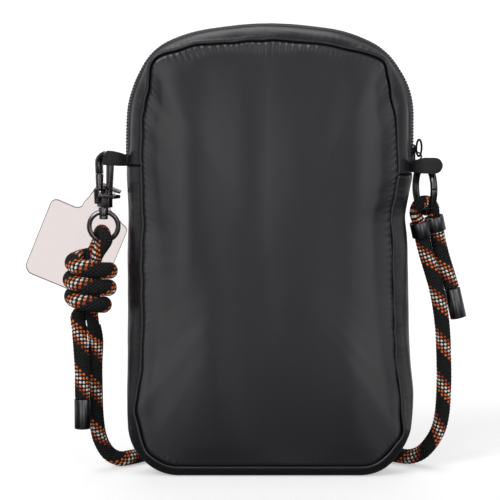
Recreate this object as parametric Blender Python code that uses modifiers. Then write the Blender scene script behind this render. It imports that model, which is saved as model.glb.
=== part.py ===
"""Upright crossbody phone pouch with a rope strap, its construction model. Metres, +Z up.

The plain back faces -Y, the mouth flap is on the +Y side, and the flat base rests on z = 0
with the origin at its centre. Left and right are as seen when looking at the plain back.
"""

import math

import bmesh
import bpy
import numpy as np
from mathutils import Matrix, Vector

MM = 0.001

# Pouch body
BODY_WIDTH = 129.4 * MM
BODY_HEIGHT = 205.8 * MM
SEAM_DEPTH = 27.0 * MM  # from the back seam to the front seam
PANEL_CROWN = 3.5 * MM  # how far each panel swells past its seam
SIDE_INSET = 6.4 * MM  # how far the seams lie inside the outline, at the sides
CORNER_INSET = 3.6 * MM
TOP_INSET = 5.6 * MM
BASE_INSET = 4.0 * MM
BASE_FLAT = 16.0 * MM  # depth of the flat strip that the pouch stands on
GUSSET_FLAT = 3.0 * MM  # depth of the level strip along the sides and the top
BASE_CORNER_R = 23.0 * MM
FABRIC = 1.2 * MM
LINING = 0.5 * MM
GAP = 0.3 * MM

# Zip, which runs over the top from one side seam to the other
ZIP_END_LEFT = 142.0 * MM  # height of the seam at the zip's left end
ZIP_END_RIGHT = 138.0 * MM
MOUTH_HINGE_Z = 138.0 * MM
FACING_FROM = 4.2 * MM  # distance of a facing's edge from the middle of the zip
TAPE_FROM = 0.9 * MM
TAPE_TO = 8.4 * MM
TAPE = 0.6 * MM
COIL_FROM = 0.5 * MM
COIL_TO = 2.3 * MM
COIL_HEIGHT = 1.35 * MM
COIL_PROUD = 0.2 * MM
SLIDER_LENGTH = 7.8 * MM
SLIDER_HALF_WIDTH = 3.4 * MM
SLIDER_PLATE = 0.7 * MM
SLIDER_POST = 0.5 * MM
PULL_WIRE_R = 0.5 * MM
PULL_HALF_WIDTH = 3.1 * MM
PULL_HALF_HEIGHT = 4.3 * MM
PULL_TWIST = math.radians(26)

# Slip pocket on the back lining
POCKET_WIDTH = 92.0 * MM
POCKET_HEIGHT = 105.0 * MM
POCKET_FROM_Z = 14.0 * MM

# Side loops of folded tape
LOOP_TAPE = 1.2 * MM
LEFT_LOOP_LOW = 141.3 * MM
LEFT_LOOP_HEIGHT = 6.2 * MM
LEFT_LOOP_PRESSED = 3.0 * MM  # height of its rear layer, pressed down by the hook
RIGHT_LOOP_LOW = 137.6 * MM
RIGHT_LOOP_HEIGHT = 7.0 * MM
RIGHT_LOOP_PRESSED = 2.1 * MM

# Swivel snap hook. Its plane is turned about the swivel axis, gate side to the rear
HOOK_OUT = 10.7 * MM  # from the pouch's left side to the swivel axis
HOOK_TURN = math.radians(40)
SPINE_OFF = 4.2 * MM
SPINE_R = 1.75 * MM
GATE_OFF = 2.4 * MM
GATE_R = 1.4 * MM
HOOK_TOP_Z = 146.4 * MM  # centre line at the top of the crook
NOSE_Z = 137.4 * MM
HOOK_BASE_LOW = 122.3 * MM
HOOK_BASE_TOP = 129.2 * MM
HOOK_THICK = 3.2 * MM
GATE_PIN_Z = 125.4 * MM
GATE_PIN_OFF = 2.2 * MM
GATE_PIN_R = 0.5 * MM
PIN_PLAY = 0.1 * MM
GATE_CHEEK = 0.6 * MM
SPRING_WIRE_R = 0.22 * MM

# Swivel ring under the hook
RING_OUTER_R = 7.75 * MM
RING_WIRE_R = 1.15 * MM
RING_CENTRE_Z = 113.5 * MM
BARREL_R = 2.3 * MM
BARREL_LENGTH = 3.5 * MM
POST_R = 1.0 * MM
POST_HEAD_R = 2.0 * MM
POST_HEAD = 1.4 * MM

# Tether tab of clear film, hung on the hook's spine
TAB_WIDTH = 35.5 * MM
TAB_HEIGHT = 34.0 * MM
TAB_THICK = 0.8 * MM
TAB_CORNER_R = 4.0 * MM
TAB_NECK_WIDTH = 9.0 * MM
TAB_NECK_RISE = 12.6 * MM  # from the plate's top edge to the bend
TAB_NECK_AT = 22.4 * MM  # from the plate's left edge to the eye's centre
TAB_EYE_R = 4.4 * MM
TAB_HOLE_R = 2.9 * MM
TAB_EYE_OFF = 0.85 * MM  # how far the eye hangs past the spine's centre
TAB_BEND_R = 2.2 * MM
TAB_TILT = math.radians(22.6)
TAB_LEAN = math.radians(15)
TAB_EYE_Z = 130.8 * MM
TAB_REACH = 7.6 * MM  # from the eye's centre back to the bend

# Gate ring in the right loop
SIDE_RING_R = 11.0 * MM  # to the centre of its wire
SIDE_WIRE_R = 1.4 * MM
SIDE_RING_OUT = 5.9 * MM  # from the pouch's right side to its centre
SIDE_RING_Y = 3.0 * MM
SIDE_RING_Z = 130.7 * MM
SIDE_RING_TURN = math.radians(71.4)
SIDE_GATE_FROM = math.radians(4)
SIDE_GATE_TO = math.radians(-58)
SIDE_TONGUE = 2.6 * MM
NOSE_PAST = 1.6 * MM  # how far both wires run past the slanted cut at the gate's nose, before it

# Rope strap
ROPE_R = 3.5 * MM
ROPE_TIGHT_R = 2.9 * MM  # where it is squeezed in a bend or in the knot
KNOT_WIDE_R = 8.2 * MM  # radii of the path of the knot's wraps
KNOT_DEEP_R = 9.8 * MM
KNOT_TURNS = 3
KNOT_STEPS_PER_TURN = 18
KNOT_PITCH = 7.8 * MM
KNOT_TOP_Z = 95.3 * MM  # first wrap, where it crosses the front
KNOT_AXIS_OUT = 17.1 * MM  # from the pouch's left side to the knot's axis
KNOT_AXIS_Y = -1.5 * MM
KNOT_MEET_Z = 86.6 * MM  # height in the knot where the left run meets the loop
CAP_R = 3.7 * MM
CAP_LENGTH = 14.0 * MM
CAP_WALL = 0.6 * MM
CAP_DEPTH = 9.0 * MM
LEFT_CAP_TOP = 34.4 * MM
FERRULE_R = 4.5 * MM
FERRULE_LENGTH = 6.7 * MM
FERRULE_SPACING = 7.9 * MM
FERRULE_TILT = math.radians(14.6)
FERRULE_TURN = math.radians(28)
FERRULE_DROP = 3.5 * MM  # from the middle of the ring's wire to the ferrule's top
ROPE_BORE_PLAY = 0.25 * MM

# Coil of the strap's spare length, behind the pouch
COIL_TURNS = 3.5
COIL_PITCH = 7.5 * MM
COIL_OUTER_R = 48.0 * MM
COIL_CENTRE_Y = 71.0 * MM
COIL_STEPS_PER_TURN = 24
TIE_THICK = 0.8 * MM
TIE_WIDTH = 9.0 * MM

LEFT = -BODY_WIDTH / 2
RIGHT = BODY_WIDTH / 2
HALF_SEAM = SEAM_DEPTH / 2
HOOK_X = LEFT - HOOK_OUT
KNOT_X = LEFT - KNOT_AXIS_OUT
COIL_LOW_Z = TIE_THICK + GAP + ROPE_R
SIDE_RING_X = RIGHT + SIDE_RING_OUT

PARTS = "phone_pouch"
CUTTERS = "cutters"


def clear_scene():
    for obj in list(bpy.data.objects):
        bpy.data.objects.remove(obj, do_unlink=True)
    for name in (PARTS, CUTTERS):
        group = bpy.data.collections.new(name)
        bpy.context.scene.collection.children.link(group)


def material(name, colour, roughness, metallic=0.0, alpha=1.0):
    made = bpy.data.materials.new(name)
    made.use_nodes = True
    made.diffuse_color = (*colour, alpha)
    shader = made.node_tree.nodes["Principled BSDF"]
    shader.inputs["Base Color"].default_value = (*colour, 1.0)
    shader.inputs["Roughness"].default_value = roughness
    shader.inputs["Metallic"].default_value = metallic
    shader.inputs["Alpha"].default_value = alpha
    return made


def place(obj, mat):
    bpy.data.collections[PARTS].objects.link(obj)
    obj.data.materials.append(mat)
    return obj


def hide_as_helper(obj):
    for group in obj.users_collection:
        group.objects.unlink(obj)
    bpy.data.collections[CUTTERS].objects.link(obj)
    obj.hide_render = True
    obj.display_type = "WIRE"
    return obj


def from_bmesh(name, bm, mat, smooth=40):
    mesh = bpy.data.meshes.new(name)
    bmesh.ops.recalc_face_normals(bm, faces=bm.faces)
    bm.to_mesh(mesh)
    bm.free()
    if smooth:
        mesh.shade_smooth()
        mesh.set_sharp_from_angle(angle=math.radians(smooth))
    return place(bpy.data.objects.new(name, mesh), mat)


def solidify(obj, thickness, offset=-1.0):
    modifier = obj.modifiers.new("wall", "SOLIDIFY")
    modifier.thickness = thickness
    modifier.offset = offset
    modifier.use_even_offset = False
    return obj


def boolean(obj, other, operation):
    modifier = obj.modifiers.new(operation.lower(), "BOOLEAN")
    modifier.operation = operation
    modifier.object = hide_as_helper(other)
    return obj


def turned_about_z(angle, x, y):
    return Matrix.Translation((x, y, 0)) @ Matrix.Rotation(angle, 4, "Z")


def cylinder(name, mat, radius, start, end, sides=20, radius_end=None):
    start, end = Vector(start), Vector(end)
    bm = bmesh.new()
    bmesh.ops.create_cone(
        bm,
        cap_ends=True,
        segments=sides,
        radius1=radius,
        radius2=radius if radius_end is None else radius_end,
        depth=(end - start).length,
    )
    turn = Vector((0, 0, 1)).rotation_difference(end - start).to_matrix().to_4x4()
    bmesh.ops.transform(bm, verts=bm.verts, matrix=Matrix.Translation((start + end) / 2) @ turn)
    return from_bmesh(name, bm, mat)


def block(name, mat, low, high, matrix=None, bevel=0.0):
    low, high = Vector(low), Vector(high)
    bm = bmesh.new()
    bmesh.ops.create_cube(bm, size=1.0)
    size = Matrix.Diagonal((*(high - low), 1))
    bmesh.ops.transform(bm, verts=bm.verts, matrix=Matrix.Translation((low + high) / 2) @ size)
    if bevel:
        bmesh.ops.bevel(bm, geom=bm.edges, offset=bevel, segments=2, profile=0.5, affect="EDGES")
    if matrix is not None:
        bmesh.ops.transform(bm, verts=bm.verts, matrix=matrix)
    return from_bmesh(name, bm, mat)


def smooth_route(points, spacing):
    """Points at an even spacing along a smooth curve through the route's own points."""
    ends = [2 * points[0] - points[1], *points, 2 * points[-1] - points[-2]]
    dense = []
    for a, b, c, d in zip(ends, ends[1:], ends[2:], ends[3:]):
        for step in range(24):
            t = step / 24
            dense.append(
                0.5
                * (
                    2 * b
                    + (c - a) * t
                    + (2 * a - 5 * b + 4 * c - d) * t**2
                    + (3 * b - a - 3 * c + d) * t**3
                )
            )
    dense.append(points[-1])
    dense = np.array(dense)
    along = np.concatenate([[0], np.cumsum(np.linalg.norm(np.diff(dense, axis=0), axis=1))])
    count = max(3, round(along[-1] / spacing) + 1)
    marks = np.linspace(0, along[-1], count)
    return np.column_stack([np.interp(marks, along, dense[:, k]) for k in range(dense.shape[1])])


def tube(name, mat, points, radius, resolution=2, radii=None, cyclic=False):
    curve = bpy.data.curves.new(name, "CURVE")
    curve.dimensions = "3D"
    curve.bevel_depth = radius
    curve.bevel_resolution = resolution
    curve.use_fill_caps = True
    spline = curve.splines.new("POLY")
    spline.points.add(len(points) - 1)
    spline.use_cyclic_u = cyclic
    for k, (target, point) in enumerate(zip(spline.points, points)):
        target.co = (*point[:3], 1)
        target.radius = 1.0 if radii is None else radii[k] / radius
    return place(bpy.data.objects.new(name, curve), mat)


def as_mesh(obj):
    """The same piece as a closed mesh, so that it can be cut or joined."""
    graph = bpy.context.evaluated_depsgraph_get()
    bpy.context.view_layer.update()
    mesh = bpy.data.meshes.new_from_object(obj.evaluated_get(graph))
    bm = bmesh.new()
    bm.from_mesh(mesh)
    bmesh.ops.remove_doubles(bm, verts=bm.verts, dist=0.001 * MM)
    bmesh.ops.recalc_face_normals(bm, faces=bm.faces)
    bm.to_mesh(mesh)
    bm.free()
    name = obj.name
    matrix = obj.matrix_world.copy()
    bpy.data.objects.remove(obj)
    mesh.name = name
    made = bpy.data.objects.new(name, mesh)
    made.matrix_world = matrix
    bpy.data.collections[PARTS].objects.link(made)
    return made


def outline_corners():
    """The pouch's outline: x, z, corner radius, seam inset and flat depth at each corner."""
    top = BODY_HEIGHT
    side, flat = SIDE_INSET, GUSSET_FLAT / 2
    return [
        (RIGHT - 1.2 * MM, 0, BASE_CORNER_R, BASE_INSET, BASE_FLAT / 2),
        (RIGHT, 36 * MM, 60 * MM, side, flat),
        (RIGHT - 2.0 * MM, 92 * MM, 60 * MM, side, flat),
        (RIGHT - 3.6 * MM, 118 * MM, 20 * MM, side, flat),
        (RIGHT, 136 * MM, 20 * MM, side, flat),
        (RIGHT, top - 31.0 * MM, 36 * MM, side, flat),
        (RIGHT - 12.3 * MM, top - 12.0 * MM, 30 * MM, CORNER_INSET, flat),
        (RIGHT - 30.5 * MM, top - 3.8 * MM, 60 * MM, TOP_INSET, flat),
        (-2.0 * MM, top + 0.6 * MM, 150 * MM, TOP_INSET, flat),
        (LEFT + 29.6 * MM, top - 3.6 * MM, 60 * MM, TOP_INSET, flat),
        (LEFT + 12.0 * MM, top - 11.4 * MM, 30 * MM, CORNER_INSET, flat),
        (LEFT, top - 31.0 * MM, 36 * MM, side, flat),
        (LEFT, 136 * MM, 60 * MM, side, flat),
        (LEFT + 1.0 * MM, 116 * MM, 60 * MM, side, flat),
        (LEFT, 60 * MM, 100 * MM, side, flat),
        (LEFT + 1.0 * MM, 0, BASE_CORNER_R, BASE_INSET, BASE_FLAT / 2),
    ]


def rounded_outline(corners, arc_step=math.radians(13), run=20 * MM):
    """Rows of x, z, outward normal x and z, inset and flat depth, once round the outline."""
    rows = []
    count = len(corners)
    for k, corner in enumerate(corners):
        here = Vector(corner[:2])
        before = Vector(corners[k - 1][:2])
        after = Vector(corners[(k + 1) % count][:2])
        came, goes = (here - before).normalized(), (after - here).normalized()
        turn = math.atan2(came.x * goes.y - came.y * goes.x, came.dot(goes))
        cut = corner[2] * math.tan(abs(turn) / 2)
        centre = here - came * cut + Vector((-came.y, came.x)) * math.copysign(corner[2], turn)
        steps = max(1, math.ceil(abs(turn) / arc_step))
        for step in range(steps + 1):
            angle = turn * step / steps
            along = Matrix.Rotation(angle, 2) @ came
            normal = Vector((along.y, -along.x))
            point = centre + normal * math.copysign(corner[2], turn)
            rows.append([*point, *normal, *corner[3:]])
    filled = []
    for k, row in enumerate(rows):
        filled.append(row)
        following = rows[(k + 1) % len(rows)]
        gap = math.dist(row[:2], following[:2])
        extra = math.ceil(gap / run) - 1
        for step in range(extra):
            t = (step + 1) / (extra + 1)
            filled.append([a + (b - a) * t for a, b in zip(row, following)])
    return np.array(filled)


def even_insets(rows, spread=9 * MM):
    """The same rows, their insets averaged along the outline so that the seams run smoothly."""
    steps = np.linalg.norm(np.roll(rows[:, :2], -1, axis=0) - rows[:, :2], axis=1)
    along = np.concatenate([[0], np.cumsum(steps)[:-1]])
    total = steps.sum()
    own = (steps + np.roll(steps, 1)) / 2
    evened = rows.copy()
    for k, at in enumerate(along):
        away = np.abs(along - at)
        away = np.minimum(away, total - away)
        weight = own * np.exp(-((away / spread) ** 2))
        evened[k, 4] = (rows[:, 4] * weight).sum() / weight.sum()
    return evened


OUTLINE = even_insets(rounded_outline(outline_corners()))


def seam_share(y, flat):
    """0 on the level strip of the gusset, 1 at the seam."""
    return (max(0.0, abs(y) - flat) / (HALF_SEAM - flat)) ** 2


def gusset_grid(depths, sink):
    """The gusset's skin at some depths, that far inside its outer face: one closed row for each depth."""
    rows = []
    for y in depths:
        row = []
        for x, z, nx, nz, inset, flat in OUTLINE:
            inward = sink + inset * seam_share(y, flat)
            row.append(Vector((x - nx * inward, y, z - nz * inward)))
        rows.append(row)
    return rows


def skin_of_rows(rows, closed):
    bm = bmesh.new()
    made = [[bm.verts.new(point) for point in row] for row in rows]
    for lower, upper in zip(made, made[1:]):
        for k in range(len(lower) if closed else len(lower) - 1):
            j = (k + 1) % len(lower)
            bm.faces.new((lower[k], lower[j], upper[j], upper[k]))
    return bm


def cut_away(bm, point, normal):
    """Removes what lies on the normal's side of a plane."""
    bmesh.ops.bisect_plane(
        bm,
        geom=bm.verts[:] + bm.edges[:] + bm.faces[:],
        plane_co=point,
        plane_no=normal,
        clear_outer=True,
    )


def zip_end_plane():
    """A point and the upward normal of the plane through both ends of the zip."""
    slope = (ZIP_END_RIGHT - ZIP_END_LEFT) / BODY_WIDTH
    middle = (ZIP_END_RIGHT + ZIP_END_LEFT) / 2
    return Vector((0, 0, middle)), Vector((-slope, 0, 1)).normalized()


def gusset_strip(name, mat, depths, sink, thickness, upper):
    """A strip of the gusset: its arch over the top, or its U round the base."""
    bm = skin_of_rows(gusset_grid(depths, sink), closed=True)
    point, normal = zip_end_plane()
    if upper:
        cut_away(bm, point + normal * GAP, -normal)
    else:
        cut_away(bm, point, normal)
    obj = from_bmesh(name, bm, mat, smooth=50)
    face_outward(obj, Vector((0, 0, BODY_HEIGHT / 2)))
    return solidify(obj, thickness)


def face_outward(obj, centre):
    """Turns an open skin's faces to point away from a centre, judged by most of its area."""
    mesh = obj.data
    total = sum((Vector(p.center) - centre).dot(p.normal) * p.area for p in mesh.polygons)
    if total < 0:
        mesh.flip_normals()


def panel_rows(side, inset_more, sink):
    """Rings of the panel from its rim to its middle. side is -1 for the back and 1 for the front."""
    shares = (0.0, 0.06, 0.18, 0.38, 0.68)
    centre = Vector((0, BODY_HEIGHT / 2))
    rows = []
    for share in shares:
        swell = PANEL_CROWN * (1 - (1 - share) ** 3)
        row = []
        for x, z, nx, nz, inset, _ in OUTLINE:
            rim = Vector((x - nx * (inset + inset_more), z - nz * (inset + inset_more)))
            point = rim.lerp(centre, share)
            row.append(Vector((point.x, side * (HALF_SEAM + swell - sink), point.y)))
        rows.append(row)
    return rows


def panel(name, mat, side, inset_more, sink, thickness, keep="all"):
    rows = panel_rows(side, inset_more, sink)
    bm = skin_of_rows(rows, closed=True)
    bm.verts.ensure_lookup_table()
    middle = bm.verts.new((0, side * (HALF_SEAM + PANEL_CROWN - sink), BODY_HEIGHT / 2))
    bm.verts.ensure_lookup_table()
    count = len(rows[0])
    inner = [bm.verts[len(rows) * count - count + k] for k in range(count)]
    for k in range(count):
        bm.faces.new((inner[k], inner[(k + 1) % count], middle))
    hinge = Vector((0, 0, MOUTH_HINGE_Z))
    if keep == "upper":
        cut_away(bm, hinge + Vector((0, 0, GAP / 2)), Vector((0, 0, -1)))
    if keep == "lower":
        cut_away(bm, hinge - Vector((0, 0, GAP / 2)), Vector((0, 0, 1)))
    obj = from_bmesh(name, bm, mat, smooth=50)
    face_outward(obj, Vector((0, 0, BODY_HEIGHT / 2)))
    return solidify(obj, thickness)


def side_depths(start, end, steps):
    return list(np.linspace(start, end, steps + 1))


def make_shell(fabric, lining):
    rim = FABRIC + GAP
    panel("back_panel", fabric, -1, rim, 0, FABRIC)
    panel("front_panel", fabric, 1, rim, 0, FABRIC, keep="lower")
    panel("front_flap", fabric, 1, rim, 0, FABRIC, keep="upper")
    gusset_strip("lower_gusset", fabric, side_depths(-HALF_SEAM, HALF_SEAM, 10), 0, FABRIC, upper=False)
    deep = FABRIC + 1.8 * GAP
    panel("back_lining", lining, -1, rim + FABRIC, deep, LINING)
    panel("front_lining", lining, 1, rim + FABRIC, deep, LINING, keep="lower")
    panel("flap_lining", lining, 1, rim + FABRIC, deep, LINING, keep="upper")
    reach = HALF_SEAM - 2 * rim
    gusset_strip("gusset_lining", lining, side_depths(-reach, reach, 6), FABRIC + 3.8 * GAP, LINING, upper=False)


def make_slip_pocket(lining):
    """A flat pocket sewn to the back lining, open at its top."""
    sink = FABRIC + LINING + 2 * GAP
    rows = []
    for z in np.linspace(POCKET_FROM_Z, POCKET_FROM_Z + POCKET_HEIGHT, 6):
        row = []
        for x in np.linspace(-POCKET_WIDTH / 2, POCKET_WIDTH / 2, 7):
            row.append(Vector((x, -HALF_SEAM + sink, z)))
        rows.append(row)
    obj = from_bmesh("slip_pocket", skin_of_rows(rows, closed=False), lining)
    face_outward(obj, Vector((0, 0, BODY_HEIGHT / 2)))
    solidify(obj, LINING)


def make_zip(fabric, tape, coil):
    for word, side in (("back", -1), ("front", 1)):
        depths = side_depths(side * FACING_FROM, side * HALF_SEAM, 4)
        gusset_strip(f"zip_facing_{word}", fabric, depths, 0, FABRIC, upper=True)
        depths = side_depths(side * TAPE_FROM, side * TAPE_TO, 2)
        gusset_strip(f"zip_tape_{word}", tape, depths, FABRIC + GAP, TAPE, upper=True)
        depths = side_depths(side * COIL_FROM, side * COIL_TO, 1)
        gusset_strip(f"zip_coil_{word}", coil, depths, -COIL_PROUD, COIL_HEIGHT, upper=True)


def slider_low():
    return ZIP_END_RIGHT + 4.9 * MM


def slider_face():
    """How far out the slider's outer face lies."""
    return RIGHT + COIL_PROUD + GAP + SLIDER_PLATE


def slider_plate(name, metal, low_x, high_x):
    """One of the slider's two plates, narrower at its upper end."""
    low, high = slider_low(), slider_low() + SLIDER_LENGTH
    bm = bmesh.new()
    half, narrow = SLIDER_HALF_WIDTH, 0.68 * SLIDER_HALF_WIDTH
    outline = [(-half, low), (half, low), (half, low + 3 * MM), (narrow, high), (-narrow, high)]
    outline.append((-half, low + 3 * MM))
    face = bm.faces.new([bm.verts.new((low_x, y, z)) for y, z in outline])
    made = bmesh.ops.extrude_face_region(bm, geom=[face])
    moved = [item for item in made["geom"] if isinstance(item, bmesh.types.BMVert)]
    bmesh.ops.translate(bm, verts=moved, vec=(high_x - low_x, 0, 0))
    bmesh.ops.recalc_face_normals(bm, faces=bm.faces)
    bmesh.ops.bevel(bm, geom=bm.edges, offset=0.22 * MM, segments=1, affect="EDGES")
    return from_bmesh(name, bm, metal)


def make_slider(metal):
    """Two plates joined by a post between the coils, with a lip on the fixed coil's side only."""
    low, high = slider_low(), slider_low() + SLIDER_LENGTH
    face = slider_face()
    outer = face - SLIDER_PLATE
    inner = RIGHT - FABRIC - GAP - TAPE - 0.4 * MM
    body = slider_plate("zip_slider", metal, outer, face)
    under = slider_plate("slider_under", metal, inner - SLIDER_PLATE, inner)
    post = block(
        "slider_post",
        metal,
        (inner - SLIDER_PLATE / 2, -SLIDER_POST / 2, low + 3.4 * MM),
        (outer + SLIDER_PLATE / 2, SLIDER_POST / 2, low + 6.0 * MM),
    )
    lip_low = RIGHT - FABRIC - GAP + 0.35 * MM
    lip = block(
        "slider_lip",
        metal,
        (lip_low, -SLIDER_HALF_WIDTH + 0.05 * MM, low + 0.4 * MM),
        (outer + SLIDER_PLATE / 2, -COIL_TO - 0.35 * MM, low + 2.8 * MM),
    )
    pivot = pull_pivot()
    reach = pivot.x - face
    bail = tube(
        "slider_bail",
        metal,
        [
            Vector((face - 0.4 * MM, 0, pivot.z - 2.0 * MM)),
            Vector((face + 0.5 * reach, 0, pivot.z - 1.9 * MM)),
            Vector((pivot.x + 0.7 * MM, 0, pivot.z - 1.3 * MM)),
            Vector((pivot.x + 1.2 * MM, 0, pivot.z)),
            Vector((pivot.x + 0.7 * MM, 0, pivot.z + 1.3 * MM)),
            Vector((face + 0.5 * reach, 0, pivot.z + 1.9 * MM)),
            Vector((face - 0.4 * MM, 0, pivot.z + 2.0 * MM)),
        ],
        0.4 * MM,
    )
    for other in (under, post, lip, as_mesh(bail)):
        boolean(body, other, "UNION")


def pull_pivot():
    return Vector((slider_face() + 1.75 * MM, 0, slider_low() + 2.5 * MM))


def make_pull(metal):
    """An oval wire ring through the slider's bail, turned about the upright line."""
    across = Vector((math.sin(PULL_TWIST), math.cos(PULL_TWIST), 0))
    rise = PULL_HALF_HEIGHT - PULL_WIRE_R
    centre = pull_pivot() + Vector((0, 0, rise))
    points = []
    for k in range(18):
        angle = 2 * math.pi * k / 18
        points.append(centre + across * PULL_HALF_WIDTH * math.cos(angle) + Vector((0, 0, rise * math.sin(angle))))
    tube("zip_puller", metal, points, PULL_WIRE_R, cyclic=True)


def loop_of_tape(name, mat, plan, lows, highs):
    """A folded tape whose width is upright: its plan line, with a low and a high edge at each point."""
    rows = [[], []]
    for point, low, high in zip(plan, lows, highs):
        rows[0].append(Vector((point[0], point[1], low)))
        rows[1].append(Vector((point[0], point[1], high)))
    obj = from_bmesh(name, skin_of_rows(rows, closed=False), mat, smooth=60)
    return solidify(obj, LOOP_TAPE, offset=0.0)


def make_left_loop(tape):
    """Its front layer covers the hook's spine, and its rear layer is pressed down under the crook."""
    out = LEFT - GAP - LOOP_TAPE / 2
    spine = spine_place()
    room = SPINE_R + 0.45 * MM + LOOP_TAPE / 2
    front, rear = spine.y - room, spine.y + room
    fold = spine.x - room - 0.1 * MM
    route = [
        Vector((out, -2.5 * MM, 0)),
        Vector((out - 2.6 * MM, front + 0.7 * MM, 0)),
        Vector((out - 5.0 * MM, front, 0)),
        Vector((spine.x, front, 0)),
        Vector((fold + 0.5 * MM, front + 0.9 * MM, 0)),
        Vector((fold, spine.y, 0)),
        Vector((fold + 0.5 * MM, rear - 0.9 * MM, 0)),
        Vector((spine.x, rear, 0)),
        Vector((out - 4.0 * MM, rear, 0)),
        Vector((out, 2.0 * MM, 0)),
    ]
    plan = smooth_route([np.array(p) for p in route], 1.1 * MM)
    lows, highs = [], []
    low, top = LEFT_LOOP_LOW, LEFT_LOOP_LOW + LEFT_LOOP_HEIGHT
    pressed = LEFT_LOOP_LOW + LEFT_LOOP_PRESSED
    for k, point in enumerate(plan):
        share = k / (len(plan) - 1)
        near_body = min(1.0, (out - point[0]) / (7 * MM))
        crest = top - 1.9 * MM * (1 - near_body) ** 2
        fall = min(1.0, max(0.0, (share - 0.36) / 0.07))
        highs.append(crest + (pressed - crest) * fall)
        lows.append(low - 0.6 * MM * (1 - near_body))
    loop_of_tape("left_loop", tape, plan, lows, highs)


def make_right_loop(tape):
    """A fuller loop, with the gate ring passing through it and over its gathered rear layer."""
    out = RIGHT + GAP + LOOP_TAPE / 2
    bar = SIDE_RING_Y - SIDE_RING_R * math.sin(SIDE_RING_TURN)
    front = bar - SIDE_WIRE_R - 0.5 * MM - LOOP_TAPE / 2
    rear = SIDE_RING_Y
    end = RIGHT + 13.4 * MM
    route = [
        Vector((out, -4.0 * MM, 0)),
        Vector((out + 0.9 * MM, front + 3.4 * MM, 0)),
        Vector((out + 3.4 * MM, front + 0.6 * MM, 0)),
        Vector((out + 7.0 * MM, front, 0)),
        Vector((end - 1.6 * MM, front + 0.7 * MM, 0)),
        Vector((end, front + 3.2 * MM, 0)),
        Vector((end - 0.4 * MM, rear - 4.0 * MM, 0)),
        Vector((end - 3.0 * MM, rear - 0.6 * MM, 0)),
        Vector((out + 5.0 * MM, rear, 0)),
        Vector((out, 2.0 * MM, 0)),
    ]
    plan = smooth_route([np.array(p) for p in route], 1.6 * MM)
    lows, highs = [], []
    low, top = RIGHT_LOOP_LOW, RIGHT_LOOP_LOW + RIGHT_LOOP_HEIGHT
    pressed = RIGHT_LOOP_LOW + RIGHT_LOOP_PRESSED
    for k, point in enumerate(plan):
        share = k / (len(plan) - 1)
        near_body = min(1.0, (point[0] - out) / (4.5 * MM))
        crest = top - 2.2 * MM * (1 - near_body) ** 2
        fall = min(1.0, max(0.0, (share - 0.5) / 0.16))
        highs.append(crest + (pressed - crest) * fall)
        lows.append(low)
    loop_of_tape("right_loop", tape, plan, lows, highs)


def hook_matrix():
    """From the hook's own plane, x towards its spine and z up, to the world."""
    return turned_about_z(-HOOK_TURN, HOOK_X, 0)


def spine_place():
    return hook_matrix() @ Vector((SPINE_OFF, 0, 0))


def make_hook(metal):
    turn = hook_matrix()
    top = HOOK_TOP_Z
    crook = [
        (SPINE_OFF, HOOK_BASE_TOP - 1.0 * MM, SPINE_R),
        (SPINE_OFF, HOOK_BASE_TOP + 4 * MM, SPINE_R),
        (SPINE_OFF, top - 5.5 * MM, SPINE_R),
        (SPINE_OFF - 0.6 * MM, top - 2.0 * MM, 1.6 * MM),
        (SPINE_OFF - 2.6 * MM, top - 0.1 * MM, 1.5 * MM),
        (SPINE_OFF - 4.8 * MM, top - 0.4 * MM, 1.45 * MM),
        (-GATE_OFF - 0.1 * MM, top - 2.9 * MM, GATE_R),
        (-GATE_OFF - 0.1 * MM, top - 5.5 * MM, GATE_R),
        (-GATE_OFF, NOSE_Z, GATE_R),
    ]
    route = smooth_route([np.array((x, 0, z, r)) for x, z, r in crook], 1.5 * MM)
    wire = as_mesh(tube("hook_body", metal, route, GATE_R, radii=[row[3] for row in route]))
    wire.data.transform(turn)
    half = HOOK_THICK / 2
    base = block(
        "hook_base",
        metal,
        (-GATE_OFF - 1.0 * MM, -half, HOOK_BASE_LOW),
        (SPINE_OFF + 1.1 * MM, half, HOOK_BASE_TOP - 0.9 * MM),
        turn,
        bevel=0.4 * MM,
    )
    shoulder = block(
        "hook_shoulder",
        metal,
        (1.5 * MM, -half + 0.05 * MM, HOOK_BASE_LOW + 2 * MM),
        (SPINE_OFF + 1.2 * MM, half - 0.05 * MM, HOOK_BASE_TOP),
        turn,
        bevel=0.5 * MM,
    )
    boolean(wire, base, "UNION")
    boolean(wire, shoulder, "UNION")
    pin_hole = cylinder("gate_pin_hole", metal, GATE_PIN_R + PIN_PLAY, *pin_ends(half + MM), sides=16)
    boolean(wire, pin_hole, "DIFFERENCE")
    socket_top = HOOK_BASE_LOW + 2.6 * MM
    socket = cylinder(
        "post_socket",
        metal,
        POST_R + GAP,
        (HOOK_X, 0, HOOK_BASE_LOW - 1 * MM),
        (HOOK_X, 0, socket_top),
        sides=16,
    )
    boolean(wire, socket, "DIFFERENCE")
    seat = cylinder(
        "spring_seat",
        metal,
        SPRING_WIRE_R + PIN_PLAY,
        turn @ Vector((0.9 * MM, 0, HOOK_BASE_TOP - 3.0 * MM)),
        turn @ Vector((0.9 * MM, 0, HOOK_BASE_TOP + 0.5 * MM)),
        sides=12,
    )
    boolean(wire, seat, "DIFFERENCE")


def pin_ends(half):
    turn = hook_matrix()
    return turn @ Vector((-GATE_PIN_OFF, -half, GATE_PIN_Z)), turn @ Vector((-GATE_PIN_OFF, half, GATE_PIN_Z))


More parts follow.
